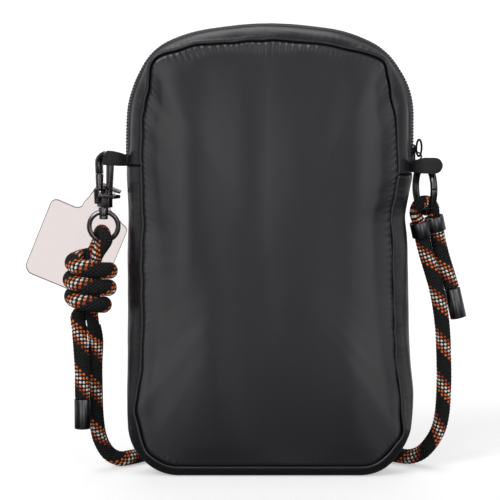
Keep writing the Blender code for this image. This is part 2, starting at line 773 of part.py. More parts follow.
def make_gate(metal):
    """The gate bar on a channel that straddles the base, with arms to a thumb knob past the spine."""
    turn = hook_matrix()
    room = HOOK_THICK / 2 + GAP
    half = room + GATE_CHEEK
    bridge = HOOK_BASE_TOP + 0.5 * MM
    arm_low, arm_high = GATE_PIN_Z + 1.2 * MM, HOOK_BASE_TOP - 1.0 * MM
    gate = block(
        "hook_gate",
        metal,
        (-GATE_OFF - 1.1 * MM, -half, GATE_PIN_Z - 1.7 * MM),
        (-GATE_OFF + 1.5 * MM, half, bridge + 0.9 * MM),
        turn,
        bevel=0.3 * MM,
    )
    arms = block(
        "gate_arms",
        metal,
        (-GATE_OFF + 0.4 * MM, -half + 0.05 * MM, arm_low),
        (SPINE_OFF + 4.2 * MM, half - 0.05 * MM, arm_high),
        turn,
        bevel=0.35 * MM,
    )
    boolean(gate, arms, "UNION")
    channel = block(
        "gate_channel", metal, (-6 * MM, -room, GATE_PIN_Z - 5 * MM), (SPINE_OFF + 1.7 * MM, room, bridge), turn
    )
    boolean(gate, channel, "DIFFERENCE")
    bar = cylinder(
        "gate_bar",
        metal,
        GATE_R,
        turn @ Vector((-GATE_OFF, 0, bridge + 0.45 * MM)),
        turn @ Vector((-GATE_OFF, 0, NOSE_Z - GAP)),
        sides=16,
    )
    boolean(gate, bar, "UNION")
    hole = cylinder("gate_hole", metal, GATE_PIN_R + PIN_PLAY, *pin_ends(half + 2 * MM), sides=16)
    boolean(gate, hole, "DIFFERENCE")


def make_gate_pin(metal):
    cylinder("gate_pin", metal, GATE_PIN_R, *pin_ends(HOOK_THICK / 2 + GAP + GATE_CHEEK - 0.1 * MM), sides=12)


def make_gate_spring(metal):
    """A bent wire seated in the base, its free end under the gate's bridge."""
    turn = hook_matrix()
    seat, crest = HOOK_BASE_TOP - 2.8 * MM, HOOK_BASE_TOP - 0.35 * MM
    points = [
        Vector((0.9 * MM, 0, seat)),
        Vector((0.9 * MM, 0, crest - 0.5 * MM)),
        Vector((0.75 * MM, 0, crest - 0.15 * MM)),
        Vector((0.4 * MM, 0, crest)),
        Vector((-1.2 * MM, 0, crest + 0.05 * MM)),
        Vector((-3.0 * MM, 0, crest + 0.05 * MM)),
    ]
    tube("gate_spring", metal, [turn @ p for p in points], SPRING_WIRE_R)


def make_swivel(metal):
    """The ring with its barrel, and the headed post that holds it under the hook."""
    centre_r = RING_OUTER_R - RING_WIRE_R
    points = []
    for k in range(26):
        angle = 2 * math.pi * k / 26
        points.append(
            Vector((HOOK_X + centre_r * math.sin(angle), 0, RING_CENTRE_Z + centre_r * math.cos(angle)))
        )
    ring = as_mesh(tube("swivel_ring", metal, points, RING_WIRE_R, cyclic=True))
    top = HOOK_BASE_LOW - GAP
    low = top - BARREL_LENGTH
    barrel = cylinder("ring_barrel", metal, BARREL_R, (HOOK_X, 0, low), (HOOK_X, 0, top))
    boolean(ring, barrel, "UNION")
    bore = cylinder(
        "barrel_bore", metal, POST_R + GAP, (HOOK_X, 0, low - 3 * MM), (HOOK_X, 0, top + 3 * MM), sides=16
    )
    boolean(ring, bore, "DIFFERENCE")
    head_top = low - GAP
    post = cylinder(
        "swivel_post",
        metal,
        POST_R,
        (HOOK_X, 0, head_top - POST_HEAD / 2),
        (HOOK_X, 0, HOOK_BASE_LOW + 2.3 * MM),
        sides=16,
    )
    head = cylinder("post_head", metal, POST_HEAD_R, (HOOK_X, 0, head_top - POST_HEAD), (HOOK_X, 0, head_top))
    boolean(post, head, "UNION")


def tab_bend():
    """The bend's angle, from the leaning plate to a level eye."""
    return math.pi / 2 - TAB_LEAN


def tab_outline():
    """The flat tab: x from its left edge, y up from its bottom edge."""
    width, height, r = TAB_WIDTH, TAB_HEIGHT, TAB_CORNER_R
    left = TAB_NECK_AT - TAB_NECK_WIDTH / 2
    right = TAB_NECK_AT + TAB_NECK_WIDTH / 2
    level = height + TAB_NECK_RISE + TAB_BEND_R * tab_bend()
    top = level + TAB_REACH - 1.6 * MM
    return [
        (0, 0, r),
        (width, 0, r),
        (width, height, r * 0.7),
        (right + 4.4 * MM, height + 1.0 * MM, 5 * MM),
        (right, height + 6.0 * MM, 6 * MM),
        (right, level + 1.5 * MM, 2 * MM),
        (TAB_NECK_AT + TAB_EYE_R - 0.5 * MM, top, 0.5 * MM),
        (TAB_NECK_AT - 2.3 * MM, top, 0.5 * MM),
        (TAB_NECK_AT - 2.5 * MM, level + 2.2 * MM, 1 * MM),
        (left, level - 0.8 * MM, 2 * MM),
        (left, height + 7.0 * MM, 7 * MM),
        (left - 6.0 * MM, height - 0.2 * MM, 4 * MM),
        (0, height, r * 0.7),
    ]


def bent_tab_point(x, y):
    """Where a point of the flat tab goes: the plate, the bend, then level towards the eye."""
    bend_at = TAB_HEIGHT + TAB_NECK_RISE
    past = max(0.0, y - bend_at)
    arc = min(past, TAB_BEND_R * tab_bend())
    angle = arc / TAB_BEND_R
    straight = past - arc
    forward = TAB_BEND_R * (1 - math.cos(angle)) + straight * math.sin(angle)
    up = TAB_BEND_R * math.sin(angle) + straight * math.cos(angle)
    return Vector((x - TAB_NECK_AT, -forward, up + min(0.0, y - bend_at)))


def tab_matrix():
    """From the tab's neck, at the start of its bend, to the world."""
    level = TAB_HEIGHT + TAB_NECK_RISE + TAB_BEND_R * tab_bend()
    tilt = Matrix.Rotation(TAB_TILT, 4, "Y") @ Matrix.Rotation(TAB_LEAN, 4, "X")
    eye = bent_tab_point(TAB_NECK_AT, level + TAB_REACH)
    return Matrix.Translation(tab_eye() - tilt @ eye) @ tilt


def tab_eye():
    spine = hook_matrix() @ Vector((SPINE_OFF + TAB_EYE_OFF, 0, 0))
    return Vector((spine.x, spine.y, TAB_EYE_Z))


def make_tab(film):
    """A film plate with a narrow neck, bent level to an eye that the hook's spine passes through."""
    flat = rounded_flat(tab_outline())
    bm = bmesh.new()
    face = bm.faces.new([bm.verts.new((x, y, 0)) for x, y in flat])
    bmesh.ops.triangulate(bm, faces=[face])
    for k in range(6):
        cut = TAB_HEIGHT + TAB_NECK_RISE + TAB_BEND_R * tab_bend() * k / 5
        bmesh.ops.bisect_plane(
            bm,
            geom=bm.verts[:] + bm.edges[:] + bm.faces[:],
            plane_co=(0, cut, 0),
            plane_no=(0, 1, 0),
        )
    for vert in bm.verts:
        vert.co = bent_tab_point(vert.co.x, vert.co.y)
    bmesh.ops.transform(bm, verts=bm.verts, matrix=tab_matrix())
    plate = solidify(from_bmesh("tether_tab", bm, film, smooth=60), TAB_THICK, offset=0.0)
    axis = Matrix.Rotation(TAB_TILT, 3, "Y") @ Vector((0, 0, 1))
    eye = tab_eye()
    thick = TAB_THICK / 2 + 0.02 * MM
    disc = cylinder("tab_eye_disc", film, TAB_EYE_R, eye - axis * thick, eye + axis * thick, sides=24)
    boolean(plate, disc, "UNION")
    hole = cylinder("tab_hole", film, TAB_HOLE_R, eye - axis * 2 * MM, eye + axis * 2 * MM, sides=20)
    boolean(plate, hole, "DIFFERENCE")


def rounded_flat(corners):
    """A flat outline of x, y points with its corners rounded."""
    rows = rounded_outline([(*corner, 0, 0) for corner in corners], math.radians(15), 40 * MM)
    return [(row[0], row[1]) for row in rows]


def side_ring_point(angle, radius):
    """On the gate ring's circle; angle 0 is level, on the front side, and grows upwards."""
    level = Vector((math.cos(SIDE_RING_TURN), -math.sin(SIDE_RING_TURN), 0))
    centre = Vector((SIDE_RING_X, SIDE_RING_Y, SIDE_RING_Z))
    return centre + level * radius * math.cos(angle) + Vector((0, 0, radius * math.sin(angle)))


def side_ring_axis():
    return Vector((math.sin(SIDE_RING_TURN), math.cos(SIDE_RING_TURN), 0))


def ring_arc(name, metal, start, end, steps):
    points = [side_ring_point(start + (end - start) * k / steps, SIDE_RING_R) for k in range(steps + 1)]
    return as_mesh(tube(name, metal, points, SIDE_WIRE_R))


def side_pin_angle():
    return SIDE_GATE_TO + SIDE_TONGUE / 2 / SIDE_RING_R


def nose_frame():
    """From the gate's nose, x away from its pin and y along the ring's axis, to the world."""
    pin = side_ring_point(side_pin_angle(), SIDE_RING_R)
    nose = side_ring_point(SIDE_GATE_FROM, SIDE_RING_R)
    away = (nose - pin).normalized()
    axis = side_ring_axis()
    return Matrix.Translation(nose) @ Matrix((away, axis, away.cross(axis))).transposed().to_4x4()


def make_side_ring(metal):
    """An open ring with a pinned gate; the gate's tongue sits between two ears of the ring.

    The nose is cut square to the line from the pin, so that it clears the ring as it swings in.
    """
    heel_gap = GAP / SIDE_RING_R
    tongue = SIDE_TONGUE / SIDE_RING_R
    past = NOSE_PAST / SIDE_RING_R
    ring = ring_arc("side_ring", metal, SIDE_GATE_TO + tongue, SIDE_GATE_FROM - past - 2 * math.pi, 28)
    gate = ring_arc("side_gate", metal, SIDE_GATE_TO + heel_gap, SIDE_GATE_FROM + past, 9)
    for piece, low, high in ((ring, -2.5 * NOSE_PAST, GAP), (gate, 0, 2.5 * NOSE_PAST)):
        cut = block("nose_cut", metal, (low, -3 * MM, -4 * MM), (high, 3 * MM, 4 * MM), nose_frame())
        boolean(piece, cut, "DIFFERENCE")
    axis = side_ring_axis()
    level = Vector((math.cos(SIDE_RING_TURN), -math.sin(SIDE_RING_TURN), 0))
    pin_angle = side_pin_angle()
    pin = side_ring_point(pin_angle, SIDE_RING_R)
    tangent = (-level * math.sin(pin_angle) + Vector((0, 0, math.cos(pin_angle)))).normalized()
    outward = (level * math.cos(pin_angle) + Vector((0, 0, math.sin(pin_angle)))).normalized()
    frame = Matrix((tangent, axis, outward)).transposed().to_4x4()
    frame = Matrix.Translation(pin) @ frame
    ear_room = 0.55 * MM
    tongue_half = 0.35 * MM
    reach = SIDE_TONGUE / 2
    slot = block(
        "ring_slot",
        metal,
        (-reach - GAP, -ear_room, -3 * MM),
        (reach + 3 * GAP, ear_room, 3 * MM),
        frame,
    )
    boolean(ring, slot, "DIFFERENCE")
    for sign in (-1, 1):
        ends = sorted((sign * tongue_half, sign * 3 * MM))
        side_cut = block(
            "tongue_cut",
            metal,
            (-reach - 2 * MM, ends[0], -3 * MM),
            (reach + SIDE_WIRE_R * 0.8, ends[1], 3 * MM),
            frame,
        )
        boolean(gate, side_cut, "DIFFERENCE")
    hole_ends = (pin - axis * 3 * MM, pin + axis * 3 * MM)
    boolean(ring, cylinder("ring_pin_hole", metal, 0.5 * MM, *hole_ends, sides=14), "DIFFERENCE")
    boolean(gate, cylinder("gate_pin_bore", metal, 0.5 * MM, *hole_ends, sides=14), "DIFFERENCE")
    half = SIDE_WIRE_R - 0.2 * MM
    cylinder("side_gate_pin", metal, 0.4 * MM, pin - axis * half, pin + axis * half, sides=12)


def knot_point(turn):
    """On the path of the wraps; the front is crossed at three quarters of each turn."""
    angle = 2 * math.pi * turn
    drift = (-1.2 + 0.9 * turn - 0.12 * turn * turn) * MM
    wide = KNOT_WIDE_R + (0.5 - 0.28 * (turn - 1.6) ** 2) * MM
    x = KNOT_X - drift + wide * math.cos(angle)
    y = KNOT_AXIS_Y + KNOT_DEEP_R * math.sin(angle)
    return Vector((x, y, KNOT_TOP_Z - KNOT_PITCH * (turn - 0.75)))


def knot_line():
    """The wraps and then the tail, as one line, and the number of its points in the knot."""
    start, end = 0.25, KNOT_TURNS + 0.2
    steps = round((end - start) * KNOT_STEPS_PER_TURN)
    wraps = [knot_point(start + (end - start) * k / steps) for k in range(steps + 1)]
    route = [np.array(wraps[-2]), np.array(wraps[-1]), *[np.array(p) for p in tail_route()]]
    tail = smooth_route(route, 4 * MM)[3:]
    return wraps + [Vector(p) for p in tail], len(wraps) + 1


def make_knot(rope):
    """The wraps of the rope round its own two strands, as one unbroken tube."""
    line, count = knot_line()
    middle = (line[count - 1] + line[count]) / 2
    back = (line[count - 1] - line[count]).normalized() * GAP / 2
    points = line[:count] + [middle + back]
    tube("strap_knot", rope, points, ROPE_R, resolution=1)
    print(f"least gap between the knot's wraps: {own_gap(points, ROPE_R, KNOT_STEPS_PER_TURN // 2) / MM:.2f} mm")


def tail_route():
    tail_x = LEFT - 20.9 * MM
    return [
        (tail_x - 1.6 * MM, KNOT_AXIS_Y + 7.6 * MM, 71.5 * MM),
        (tail_x - 1.4 * MM, KNOT_AXIS_Y + 5.0 * MM, 65.0 * MM),
        (tail_x - 0.6 * MM, KNOT_AXIS_Y + 2.4 * MM, 56.0 * MM),
        (tail_x, KNOT_AXIS_Y + 1.0 * MM, 46.0 * MM),
        (tail_x, KNOT_AXIS_Y + 0.6 * MM, 40.0 * MM),
    ]


def own_gap(points, radius, apart):
    """The least gap of a tube to itself, between points at least that many steps apart."""
    line = np.array([tuple(p[:3]) for p in points])
    least = 1.0
    for k in range(len(line) - apart):
        least = min(least, np.linalg.norm(line[k + apart :] - line[k], axis=1).min())
    return least - 2 * radius


def make_left_loop_of_rope(rope):
    """Up through the knot, over the swivel ring's lower wire and down into the knot again."""
    wire_z = RING_CENTRE_Z - (RING_OUTER_R - RING_WIRE_R)
    bend = RING_WIRE_R + 0.5 * MM + ROPE_TIGHT_R
    skew = math.radians(17)
    core_x = KNOT_X + 1.2 * MM
    half_core = ROPE_TIGHT_R + 0.15 * MM
    legs = []
    for side in (1, -1):
        y = KNOT_AXIS_Y + side * half_core
        legs.append(
            [
                Vector((core_x, y, KNOT_MEET_Z)),
                Vector((core_x, y, KNOT_MEET_Z + 5 * MM)),
                Vector((core_x + 0.2 * MM, y, KNOT_MEET_Z + 10 * MM)),
                Vector((core_x + 2.2 * MM, y + side * 0.5 * MM, 101.5 * MM)),
            ]
        )
    points = legs[0]
    for k in range(9):
        angle = math.pi * k / 8
        y = bend * math.cos(angle)
        points.append(Vector((HOOK_X + y * math.tan(skew), y, wire_z + bend * math.sin(angle))))
    points += reversed(legs[1])
    route = smooth_route([np.array(p) for p in points], 2.0 * MM)
    tube("rope_loop_left", rope, route, ROPE_TIGHT_R)


def cap_and_tail(word, rope, metal, points, top, tip):
    """A tail of rope and the closed metal cap on its end."""
    top, tip = Vector(top), Vector(tip)
    axis = (tip - top).normalized()
    inner = CAP_R - CAP_WALL - 0.2 * MM
    line = [Vector(p) for p in points]
    line += [top - axis * 0.4 * MM, top + axis * 0.5 * MM, top + axis * (CAP_DEPTH - GAP)]
    radii = [ROPE_R] * (len(line) - 2) + [inner, inner]
    tube(f"rope_tail_{word}", rope, line, ROPE_R, radii=radii)
    cap = cylinder(f"end_cap_{word}", metal, CAP_R, top + axis * 0.3 * MM, tip, sides=24)
    bore = cylinder(
        f"cap_bore_{word}", metal, CAP_R - CAP_WALL, top - axis * 2 * MM, top + axis * CAP_DEPTH, sides=24
    )
    boolean(cap, bore, "DIFFERENCE")


def make_left_tail(rope, metal):
    line, count = knot_line()
    middle = (line[count - 1] + line[count]) / 2
    onward = (line[count] - line[count - 1]).normalized() * GAP / 2
    points = [middle + onward, *line[count::2]]
    top = Vector((LEFT - 20.9 * MM, KNOT_AXIS_Y + 0.6 * MM, LEFT_CAP_TOP))
    cap_and_tail("left", rope, metal, points, top, top - Vector((0, 0, CAP_LENGTH)))


def left_run_route():
    """From inside the knot down to the floor and back to the coil."""
    core_x = KNOT_X + 1.2 * MM
    start_y = KNOT_AXIS_Y + ROPE_TIGHT_R + 0.15 * MM
    return [
        (core_x, start_y, KNOT_MEET_Z - GAP),
        (core_x - 0.5 * MM, start_y - 0.5 * MM, 79.0 * MM),
        (core_x - 0.5 * MM, start_y - 0.6 * MM, 74.0 * MM),
        (core_x, start_y + 0.3 * MM, 68.0 * MM),
        (core_x + 1.0 * MM, start_y + 3.6 * MM, 60.0 * MM),
        (core_x + 0.5 * MM, start_y + 4.3 * MM, 48.0 * MM),
        (core_x + 0.6 * MM, start_y + 4.3 * MM, 36.0 * MM),
        (core_x + 0.9 * MM, start_y + 5.2 * MM, 24.5 * MM),
        (core_x + 2.3 * MM, start_y + 6.4 * MM, 14.6 * MM),
        (core_x + 5.9 * MM, start_y + 8.2 * MM, 7.2 * MM),
        (core_x + 10.9 * MM, start_y + 10.6 * MM, 3.8 * MM),
        (core_x + 16.0 * MM, start_y + 14.6 * MM, ROPE_R),
        (core_x + 22.4 * MM, start_y + 23.6 * MM, ROPE_R),
        (core_x + 29.6 * MM, start_y + 43.0 * MM, ROPE_R),
    ]


def coil_point(turn):
    """Clockwise from above, from its left: in on the floor, up at the middle, out on top."""
    middle = COIL_TURNS / 2
    climb_from, climb_to = middle - 0.25, middle + 0.25
    away = abs(turn - middle)
    if away >= 0.25:
        inward = middle - away
        radius = COIL_OUTER_R - COIL_PITCH * inward
    else:
        dip = COIL_PITCH / 8 * (1 - (away / 0.25) ** 2)
        radius = COIL_OUTER_R - COIL_PITCH * (middle - 0.25) - dip
    climb = min(1.0, max(0.0, (turn - climb_from) / (climb_to - climb_from)))
    angle = math.pi - 2 * math.pi * turn
    return Vector(
        (
            radius * math.cos(angle),
            COIL_CENTRE_Y + radius * math.sin(angle),
            COIL_LOW_Z + COIL_PITCH * climb,
        )
    )


def coil_points():
    steps = round(COIL_TURNS * COIL_STEPS_PER_TURN)
    points = [coil_point(COIL_TURNS * k / steps) for k in range(steps + 1)]
    lead = 2 * ROPE_R
    first = points[0] - Vector((0, lead, 0))
    last = points[-1] - Vector((0, lead, 0))
    return [first, *points, last]


def make_coil(rope, strap):
    points = coil_points()
    tube("rope_coil", rope, points, ROPE_R, resolution=1)
    print(f"least gap between the coil's turns: {own_gap(points, ROPE_R, 14) / MM:.2f} mm")
    print(f"length of the coil: {route_length(points) / MM:.0f} mm")
    inner_r = COIL_OUTER_R - 1.25 * COIL_PITCH
    outer_r = COIL_OUTER_R - 0.25 * COIL_PITCH
    low_y = COIL_CENTRE_Y + inner_r - ROPE_R - 2.5 * GAP
    high_y = COIL_CENTRE_Y + outer_r + ROPE_R + GAP
    high_z = COIL_LOW_Z + COIL_PITCH + ROPE_R + GAP
    band = block(
        "coil_tie",
        strap,
        (-TIE_WIDTH / 2, low_y - TIE_THICK, 0),
        (TIE_WIDTH / 2, high_y + TIE_THICK, high_z + TIE_THICK),
    )
    window = block(
        "tie_window",
        strap,
        (-TIE_WIDTH, low_y, TIE_THICK),
        (TIE_WIDTH, high_y, high_z),
    )
    boolean(band, window, "DIFFERENCE")


def route_length(points):
    return sum((Vector(b[:3]) - Vector(a[:3])).length for a, b in zip(points, points[1:]))


def make_left_run(rope):
    route = [np.array(p) for p in left_run_route()]
    end = np.array(coil_points()[0]) - np.array((0, GAP, 0))
    route += [end - np.array((0, 2 * ROPE_R, 0)), end]
    points = smooth_route(route, 7 * MM)
    radii = [ROPE_TIGHT_R if p[2] > 67 * MM else ROPE_R for p in points]
    tube("rope_run_left", rope, points, ROPE_R, radii=radii)
    print(f"length of the left run: {route_length(points) / MM:.0f} mm")


def ferrule_frame():
    """Matrix from the ferrule's own axes, x from left to right barrel and z up it, to the world."""
    wire_z = SIDE_RING_Z - SIDE_RING_R
    turn = Matrix.Rotation(FERRULE_TURN, 4, "Z") @ Matrix.Rotation(-FERRULE_TILT, 4, "Y")
    return Matrix.Translation((SIDE_RING_X, SIDE_RING_Y, wire_z)) @ turn


def make_ferrule(metal):
    frame = ferrule_frame()
    top, low = -FERRULE_DROP, -FERRULE_DROP - FERRULE_LENGTH
    half = FERRULE_SPACING / 2
    barrels = []
    for sign in (-1, 1):
        start = frame @ Vector((sign * half, 0, low))
        end = frame @ Vector((sign * half, 0, top))
        barrels.append(cylinder("strap_ferrule", metal, FERRULE_R, start, end, sides=28))
    boolean(barrels[0], barrels[1], "UNION")
    for sign in (-1, 1):
        start = frame @ Vector((sign * half, 0, low - 2 * MM))
        end = frame @ Vector((sign * half, 0, top + 2 * MM))
        bore = cylinder("ferrule_bore", metal, ROPE_R + ROPE_BORE_PLAY, start, end, sides=24)
        boolean(barrels[0], bore, "DIFFERENCE")
    barrels[0].name = "strap_ferrule"


def make_right_loop_of_rope(rope):
    """Over the gate ring's lower wire, both legs down into the ferrule."""
    frame = ferrule_frame()
    bend = SIDE_WIRE_R + 0.45 * MM + ROPE_TIGHT_R
    half = FERRULE_SPACING / 2
    meet = -FERRULE_DROP - FERRULE_LENGTH / 2 + GAP / 2
    local = [Vector((-half, 0, meet)), Vector((-half - 0.15 * MM, 0, -FERRULE_DROP))]
    for k in range(9):
        angle = math.pi * (1 - k / 8)
        local.append(Vector((bend * math.cos(angle), 0, bend * math.sin(angle))))
    local += [Vector((half + 0.15 * MM, 0, -FERRULE_DROP)), Vector((half, 0, meet))]
    route = smooth_route([np.array(frame @ p) for p in local], 2.0 * MM)
    tube("rope_loop_right", rope, route, ROPE_TIGHT_R)


def below_ferrule(sign, depth):
    half = FERRULE_SPACING / 2
    return ferrule_frame() @ Vector((sign * half, 0, -FERRULE_DROP - FERRULE_LENGTH / 2 - GAP / 2 - depth))


def make_right_tail(rope, metal):
    start = below_ferrule(1, 0)
    middle = below_ferrule(1, 14 * MM)
    top = Vector((RIGHT + 18.9 * MM, middle.y - 0.4 * MM, 84.2 * MM))
    fall = Vector((math.sin(math.radians(13)), 0, -math.cos(math.radians(13))))
    route = [start, middle, top - fall * 0.4 * MM]
    points = smooth_route([np.array(p) for p in route], 5 * MM)[:-1]
    cap_and_tail("right", rope, metal, points, top, top + fall * CAP_LENGTH)


def right_run_route():
    """From the ferrule down to the floor and round behind the pouch to the coil."""
    return [
        (RIGHT + 11.7 * MM, 3.0 * MM, 84.0 * MM),
        (RIGHT + 14.4 * MM, 4.6 * MM, 68.0 * MM),
        (RIGHT + 15.4 * MM, 6.4 * MM, 53.0 * MM),
        (RIGHT + 15.7 * MM, 8.3 * MM, 38.0 * MM),
        (RIGHT + 15.0 * MM, 10.2 * MM, 24.5 * MM),
        (RIGHT + 12.6 * MM, 12.0 * MM, 15.2 * MM),
        (RIGHT + 7.2 * MM, 14.2 * MM, 7.2 * MM),
        (RIGHT + 1.6 * MM, 16.6 * MM, 3.9 * MM),
        (RIGHT - 4.0 * MM, 20.4 * MM, ROPE_R),
        (RIGHT - 9.6 * MM, 26.4 * MM, ROPE_R + 0.2 * MM),
        (RIGHT - 14.8 * MM, 36.0 * MM, 5.2 * MM),
        (RIGHT - 17.2 * MM, 49.0 * MM, 9.0 * MM),
    ]


def make_right_run(rope):
    start = below_ferrule(-1, 0)
    second = below_ferrule(-1, 10 * MM)
    end = coil_points()[-1] - Vector((0, GAP, 0))
    route = [np.array(start), np.array(second), *[np.array(p) for p in right_run_route()]]
    route.append(np.array(end - Vector((0, 5 * MM, 0.2 * MM))))
    route.append(np.array(end))
    points = smooth_route(route, 7 * MM)
    tube("rope_run_right", rope, points, ROPE_R)
    print(f"length of the right run: {route_length(points) / MM:.0f} mm")


def main():
    clear_scene()
    fabric = material("dark_nylon", (0.045, 0.045, 0.052), 0.55)
    lining = material("lining_cloth", (0.03, 0.03, 0.035), 0.7)
    zip_tape = material("zip_tape", (0.02, 0.02, 0.022), 0.8)
    zip_coil = material("zip_coil", (0.012, 0.012, 0.014), 0.4)
    zip_metal = material("zip_metal", (0.03, 0.03, 0.033), 0.35, 1.0)
    loop_tape = material("loop_tape", (0.018, 0.018, 0.02), 0.8)
    gunmetal = material("gunmetal", (0.09, 0.088, 0.092), 0.28, 1.0)
    cap_metal = material("cap_metal", (0.06, 0.06, 0.064), 0.4, 1.0)
    film = material("clear_film", (0.85, 0.8, 0.8), 0.12, alpha=0.4)
    rope = material("braided_rope", (0.02, 0.02, 0.022), 0.8)
    make_shell(fabric, lining)
    make_slip_pocket(lining)
    make_zip(fabric, zip_tape, zip_coil)
    make_slider(zip_metal)
    make_pull(zip_metal)
    make_left_loop(loop_tape)
    make_right_loop(loop_tape)
    make_hook(gunmetal)
    make_gate(gunmetal)
    make_gate_pin(gunmetal)
    make_gate_spring(gunmetal)
    make_swivel(gunmetal)
    make_tab(film)
    make_side_ring(gunmetal)
    make_left_loop_of_rope(rope)
    make_knot(rope)
    make_left_tail(rope, cap_metal)
    make_left_run(rope)
    make_coil(rope, loop_tape)
    make_ferrule(cap_metal)
    make_right_loop_of_rope(rope)
    make_right_tail(rope, cap_metal)
    make_right_run(rope)


main()
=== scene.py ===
"""Looks of an upright phone pouch: cloth, zip, side loops, hook, rings, film tab and braided rope strap."""

import math

import bmesh
import bpy
import numpy as np
from mathutils import Matrix, Vector, noise
from mathutils.bvhtree import BVHTree


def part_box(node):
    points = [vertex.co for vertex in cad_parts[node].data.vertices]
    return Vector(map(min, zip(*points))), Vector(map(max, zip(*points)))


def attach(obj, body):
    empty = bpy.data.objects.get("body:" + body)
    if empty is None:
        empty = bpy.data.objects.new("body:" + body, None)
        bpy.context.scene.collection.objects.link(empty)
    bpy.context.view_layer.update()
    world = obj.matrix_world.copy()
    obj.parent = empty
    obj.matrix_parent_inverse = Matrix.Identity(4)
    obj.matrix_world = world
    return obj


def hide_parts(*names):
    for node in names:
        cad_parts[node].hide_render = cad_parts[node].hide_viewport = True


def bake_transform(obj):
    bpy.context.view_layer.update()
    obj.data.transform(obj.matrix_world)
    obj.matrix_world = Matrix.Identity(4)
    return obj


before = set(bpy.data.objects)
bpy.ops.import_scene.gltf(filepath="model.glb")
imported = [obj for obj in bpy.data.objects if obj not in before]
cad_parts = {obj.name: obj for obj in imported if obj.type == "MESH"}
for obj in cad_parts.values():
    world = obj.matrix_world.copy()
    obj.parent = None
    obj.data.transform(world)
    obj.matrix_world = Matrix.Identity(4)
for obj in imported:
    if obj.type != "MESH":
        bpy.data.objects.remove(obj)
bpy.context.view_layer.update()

MM = 0.001

# Pouch cloth
BODY_WIDTH = 129.4 * MM
BODY_HEIGHT = 205.8 * MM
LEFT, RIGHT = -BODY_WIDTH / 2, BODY_WIDTH / 2
HALF_SEAM = 13.5 * MM
PANEL_CROWN = 3.5 * MM
SIDE_INSET, CORNER_INSET, TOP_INSET, BASE_INSET = 6.4 * MM, 3.6 * MM, 5.6 * MM, 4.0 * MM
BASE_FLAT = 16.0 * MM
GUSSET_FLAT = 3.0 * MM
BASE_CORNER_R = 23.0 * MM
FABRIC = 1.2 * MM
LINING = 0.5 * MM
GAP = 0.3 * MM
CLOTH_STEP = 0.65 * MM  # spacing of the cloth's rows of faces along the outline
SEAM_AT = 1.6 * MM  # from the gusset's edge in to the panel's edge, where the seam stands open
SEAM_SHUT = 0.75 * MM  # and where it is closed
PANEL_SPAN = 60 * MM  # from a side seam to the panel's middle
ROLL = 1.5 * MM  # width over which a cloth's edge rolls into its seam
ROLL_DEPTH = 1.1 * MM
TUCK = 0.7 * MM  # how far a panel's rim goes on beneath the gusset's edge, inside the seam

# Zip
ZIP_END_LEFT = 142.0 * MM
ZIP_END_RIGHT = 138.0 * MM
FACING_FROM = 4.2 * MM
TAPE_FROM, TAPE_TO, TAPE = 0.9 * MM, 8.4 * MM, 0.6 * MM
TOOTH_PITCH = 1.45 * MM
TOOTH_SIZE = Vector((0.46, 1.0, 0.52)) * MM
TOOTH_AT = 1.45 * MM  # from the zip's middle line

# Rope strap
ROPE_R = 3.5 * MM
ROPE_TIGHT_R = 2.9 * MM
CARRIERS = 24
PICK_ROW = 1.725 * MM
PICK_SIZE = Vector((0.80, 0.66, 0.46)) * MM
PICK_SINK = 0.40 * MM  # from the rope's surface in to the middle of a pick
CORE_SINK = 0.50 * MM

# Hardware, as in the construction model
HOOK_X = LEFT - 10.7 * MM
HOOK_TURN = math.radians(40)
HOOK_BASE_TOP = 129.3 * MM
SPINE_OFF = 4.2 * MM
SPINE_R = 1.75 * MM
GATE_OFF = 2.4 * MM  # from the hook's axis to its gate
RING_CENTRE_Z = 113.5 * MM
RING_OUTER_R = 7.75 * MM
RING_WIRE_R = 1.15 * MM
SIDE_RING_R = 11.0 * MM
SIDE_WIRE_R = 1.4 * MM
SIDE_RING_X = RIGHT + 5.9 * MM
SIDE_RING_Y = 3.0 * MM
SIDE_RING_Z = 130.7 * MM
SIDE_RING_TURN = math.radians(71.4)
LOOP_TAPE = 1.2 * MM
SEWN_IN = 3.0 * MM  # how far a side loop's ends go into the gusset's side
TAB_NECK_LENGTH = 12.6 * MM
TAB_CORNER_R = 4.0 * MM

# Where the hardware departs from that model
HOOK_BASE_SHARE = 0.86  # width of the hook's foot
NOSE_PIN_R = 1.1 * MM
GATE_GAIN = 1.32  # thickness of the gate's bar and of the crook's end
SIDE_RING_GAIN = 1.25  # thickness of the gate ring's wire
TAB_STRETCH = 0.16  # how much longer the film is, and how much wider
TAB_SPREAD = 0.055
TAB_DROP = 1.3 * MM
TAB_NECK_SWELL = 3.2 * MM
TAB_RIM = 0.28 * MM  # width of the film's painted dark edge, painted shade where light leaves it

# Camera
SPAN = 227.5 * MM  # width of the picture at the pouch
PICTURE_MIDDLE = Vector((-8.9, 0.0, 102.6)) * MM
LENS, SENSOR = 200.0, 36.0
CAMERA_RISE = math.radians(7)


# Number, node and mesh helpers


def clamp(value):
    return min(1.0, max(0.0, value))


def running_length(points):
    """The distance along a line of points, at each of them."""
    return np.concatenate([[0], np.cumsum(np.linalg.norm(np.diff(points, axis=0), axis=1))])


def add(tree, kind, inputs=None, **settings):
    """Adds a node; an input is given as a value or as another node's output socket."""
    node = tree.nodes.new(kind)
    for key, value in settings.items():
        setattr(node, key, value)
    for key, value in (inputs or {}).items():
        if isinstance(value, bpy.types.NodeSocket):
            tree.links.new(value, node.inputs[key])
        else:
            node.inputs[key].default_value = value
    return node


def math_node(tree, operation, first, second=0.0):
    return add(tree, "ShaderNodeMath", {0: first, 1: second}, operation=operation).outputs[0]


def scaled(tree, value, factor, offset):
    """A value times a factor, plus an offset."""
    return add(tree, "ShaderNodeMath", {0: value, 1: factor, 2: offset}, operation="MULTIPLY_ADD").outputs[0]


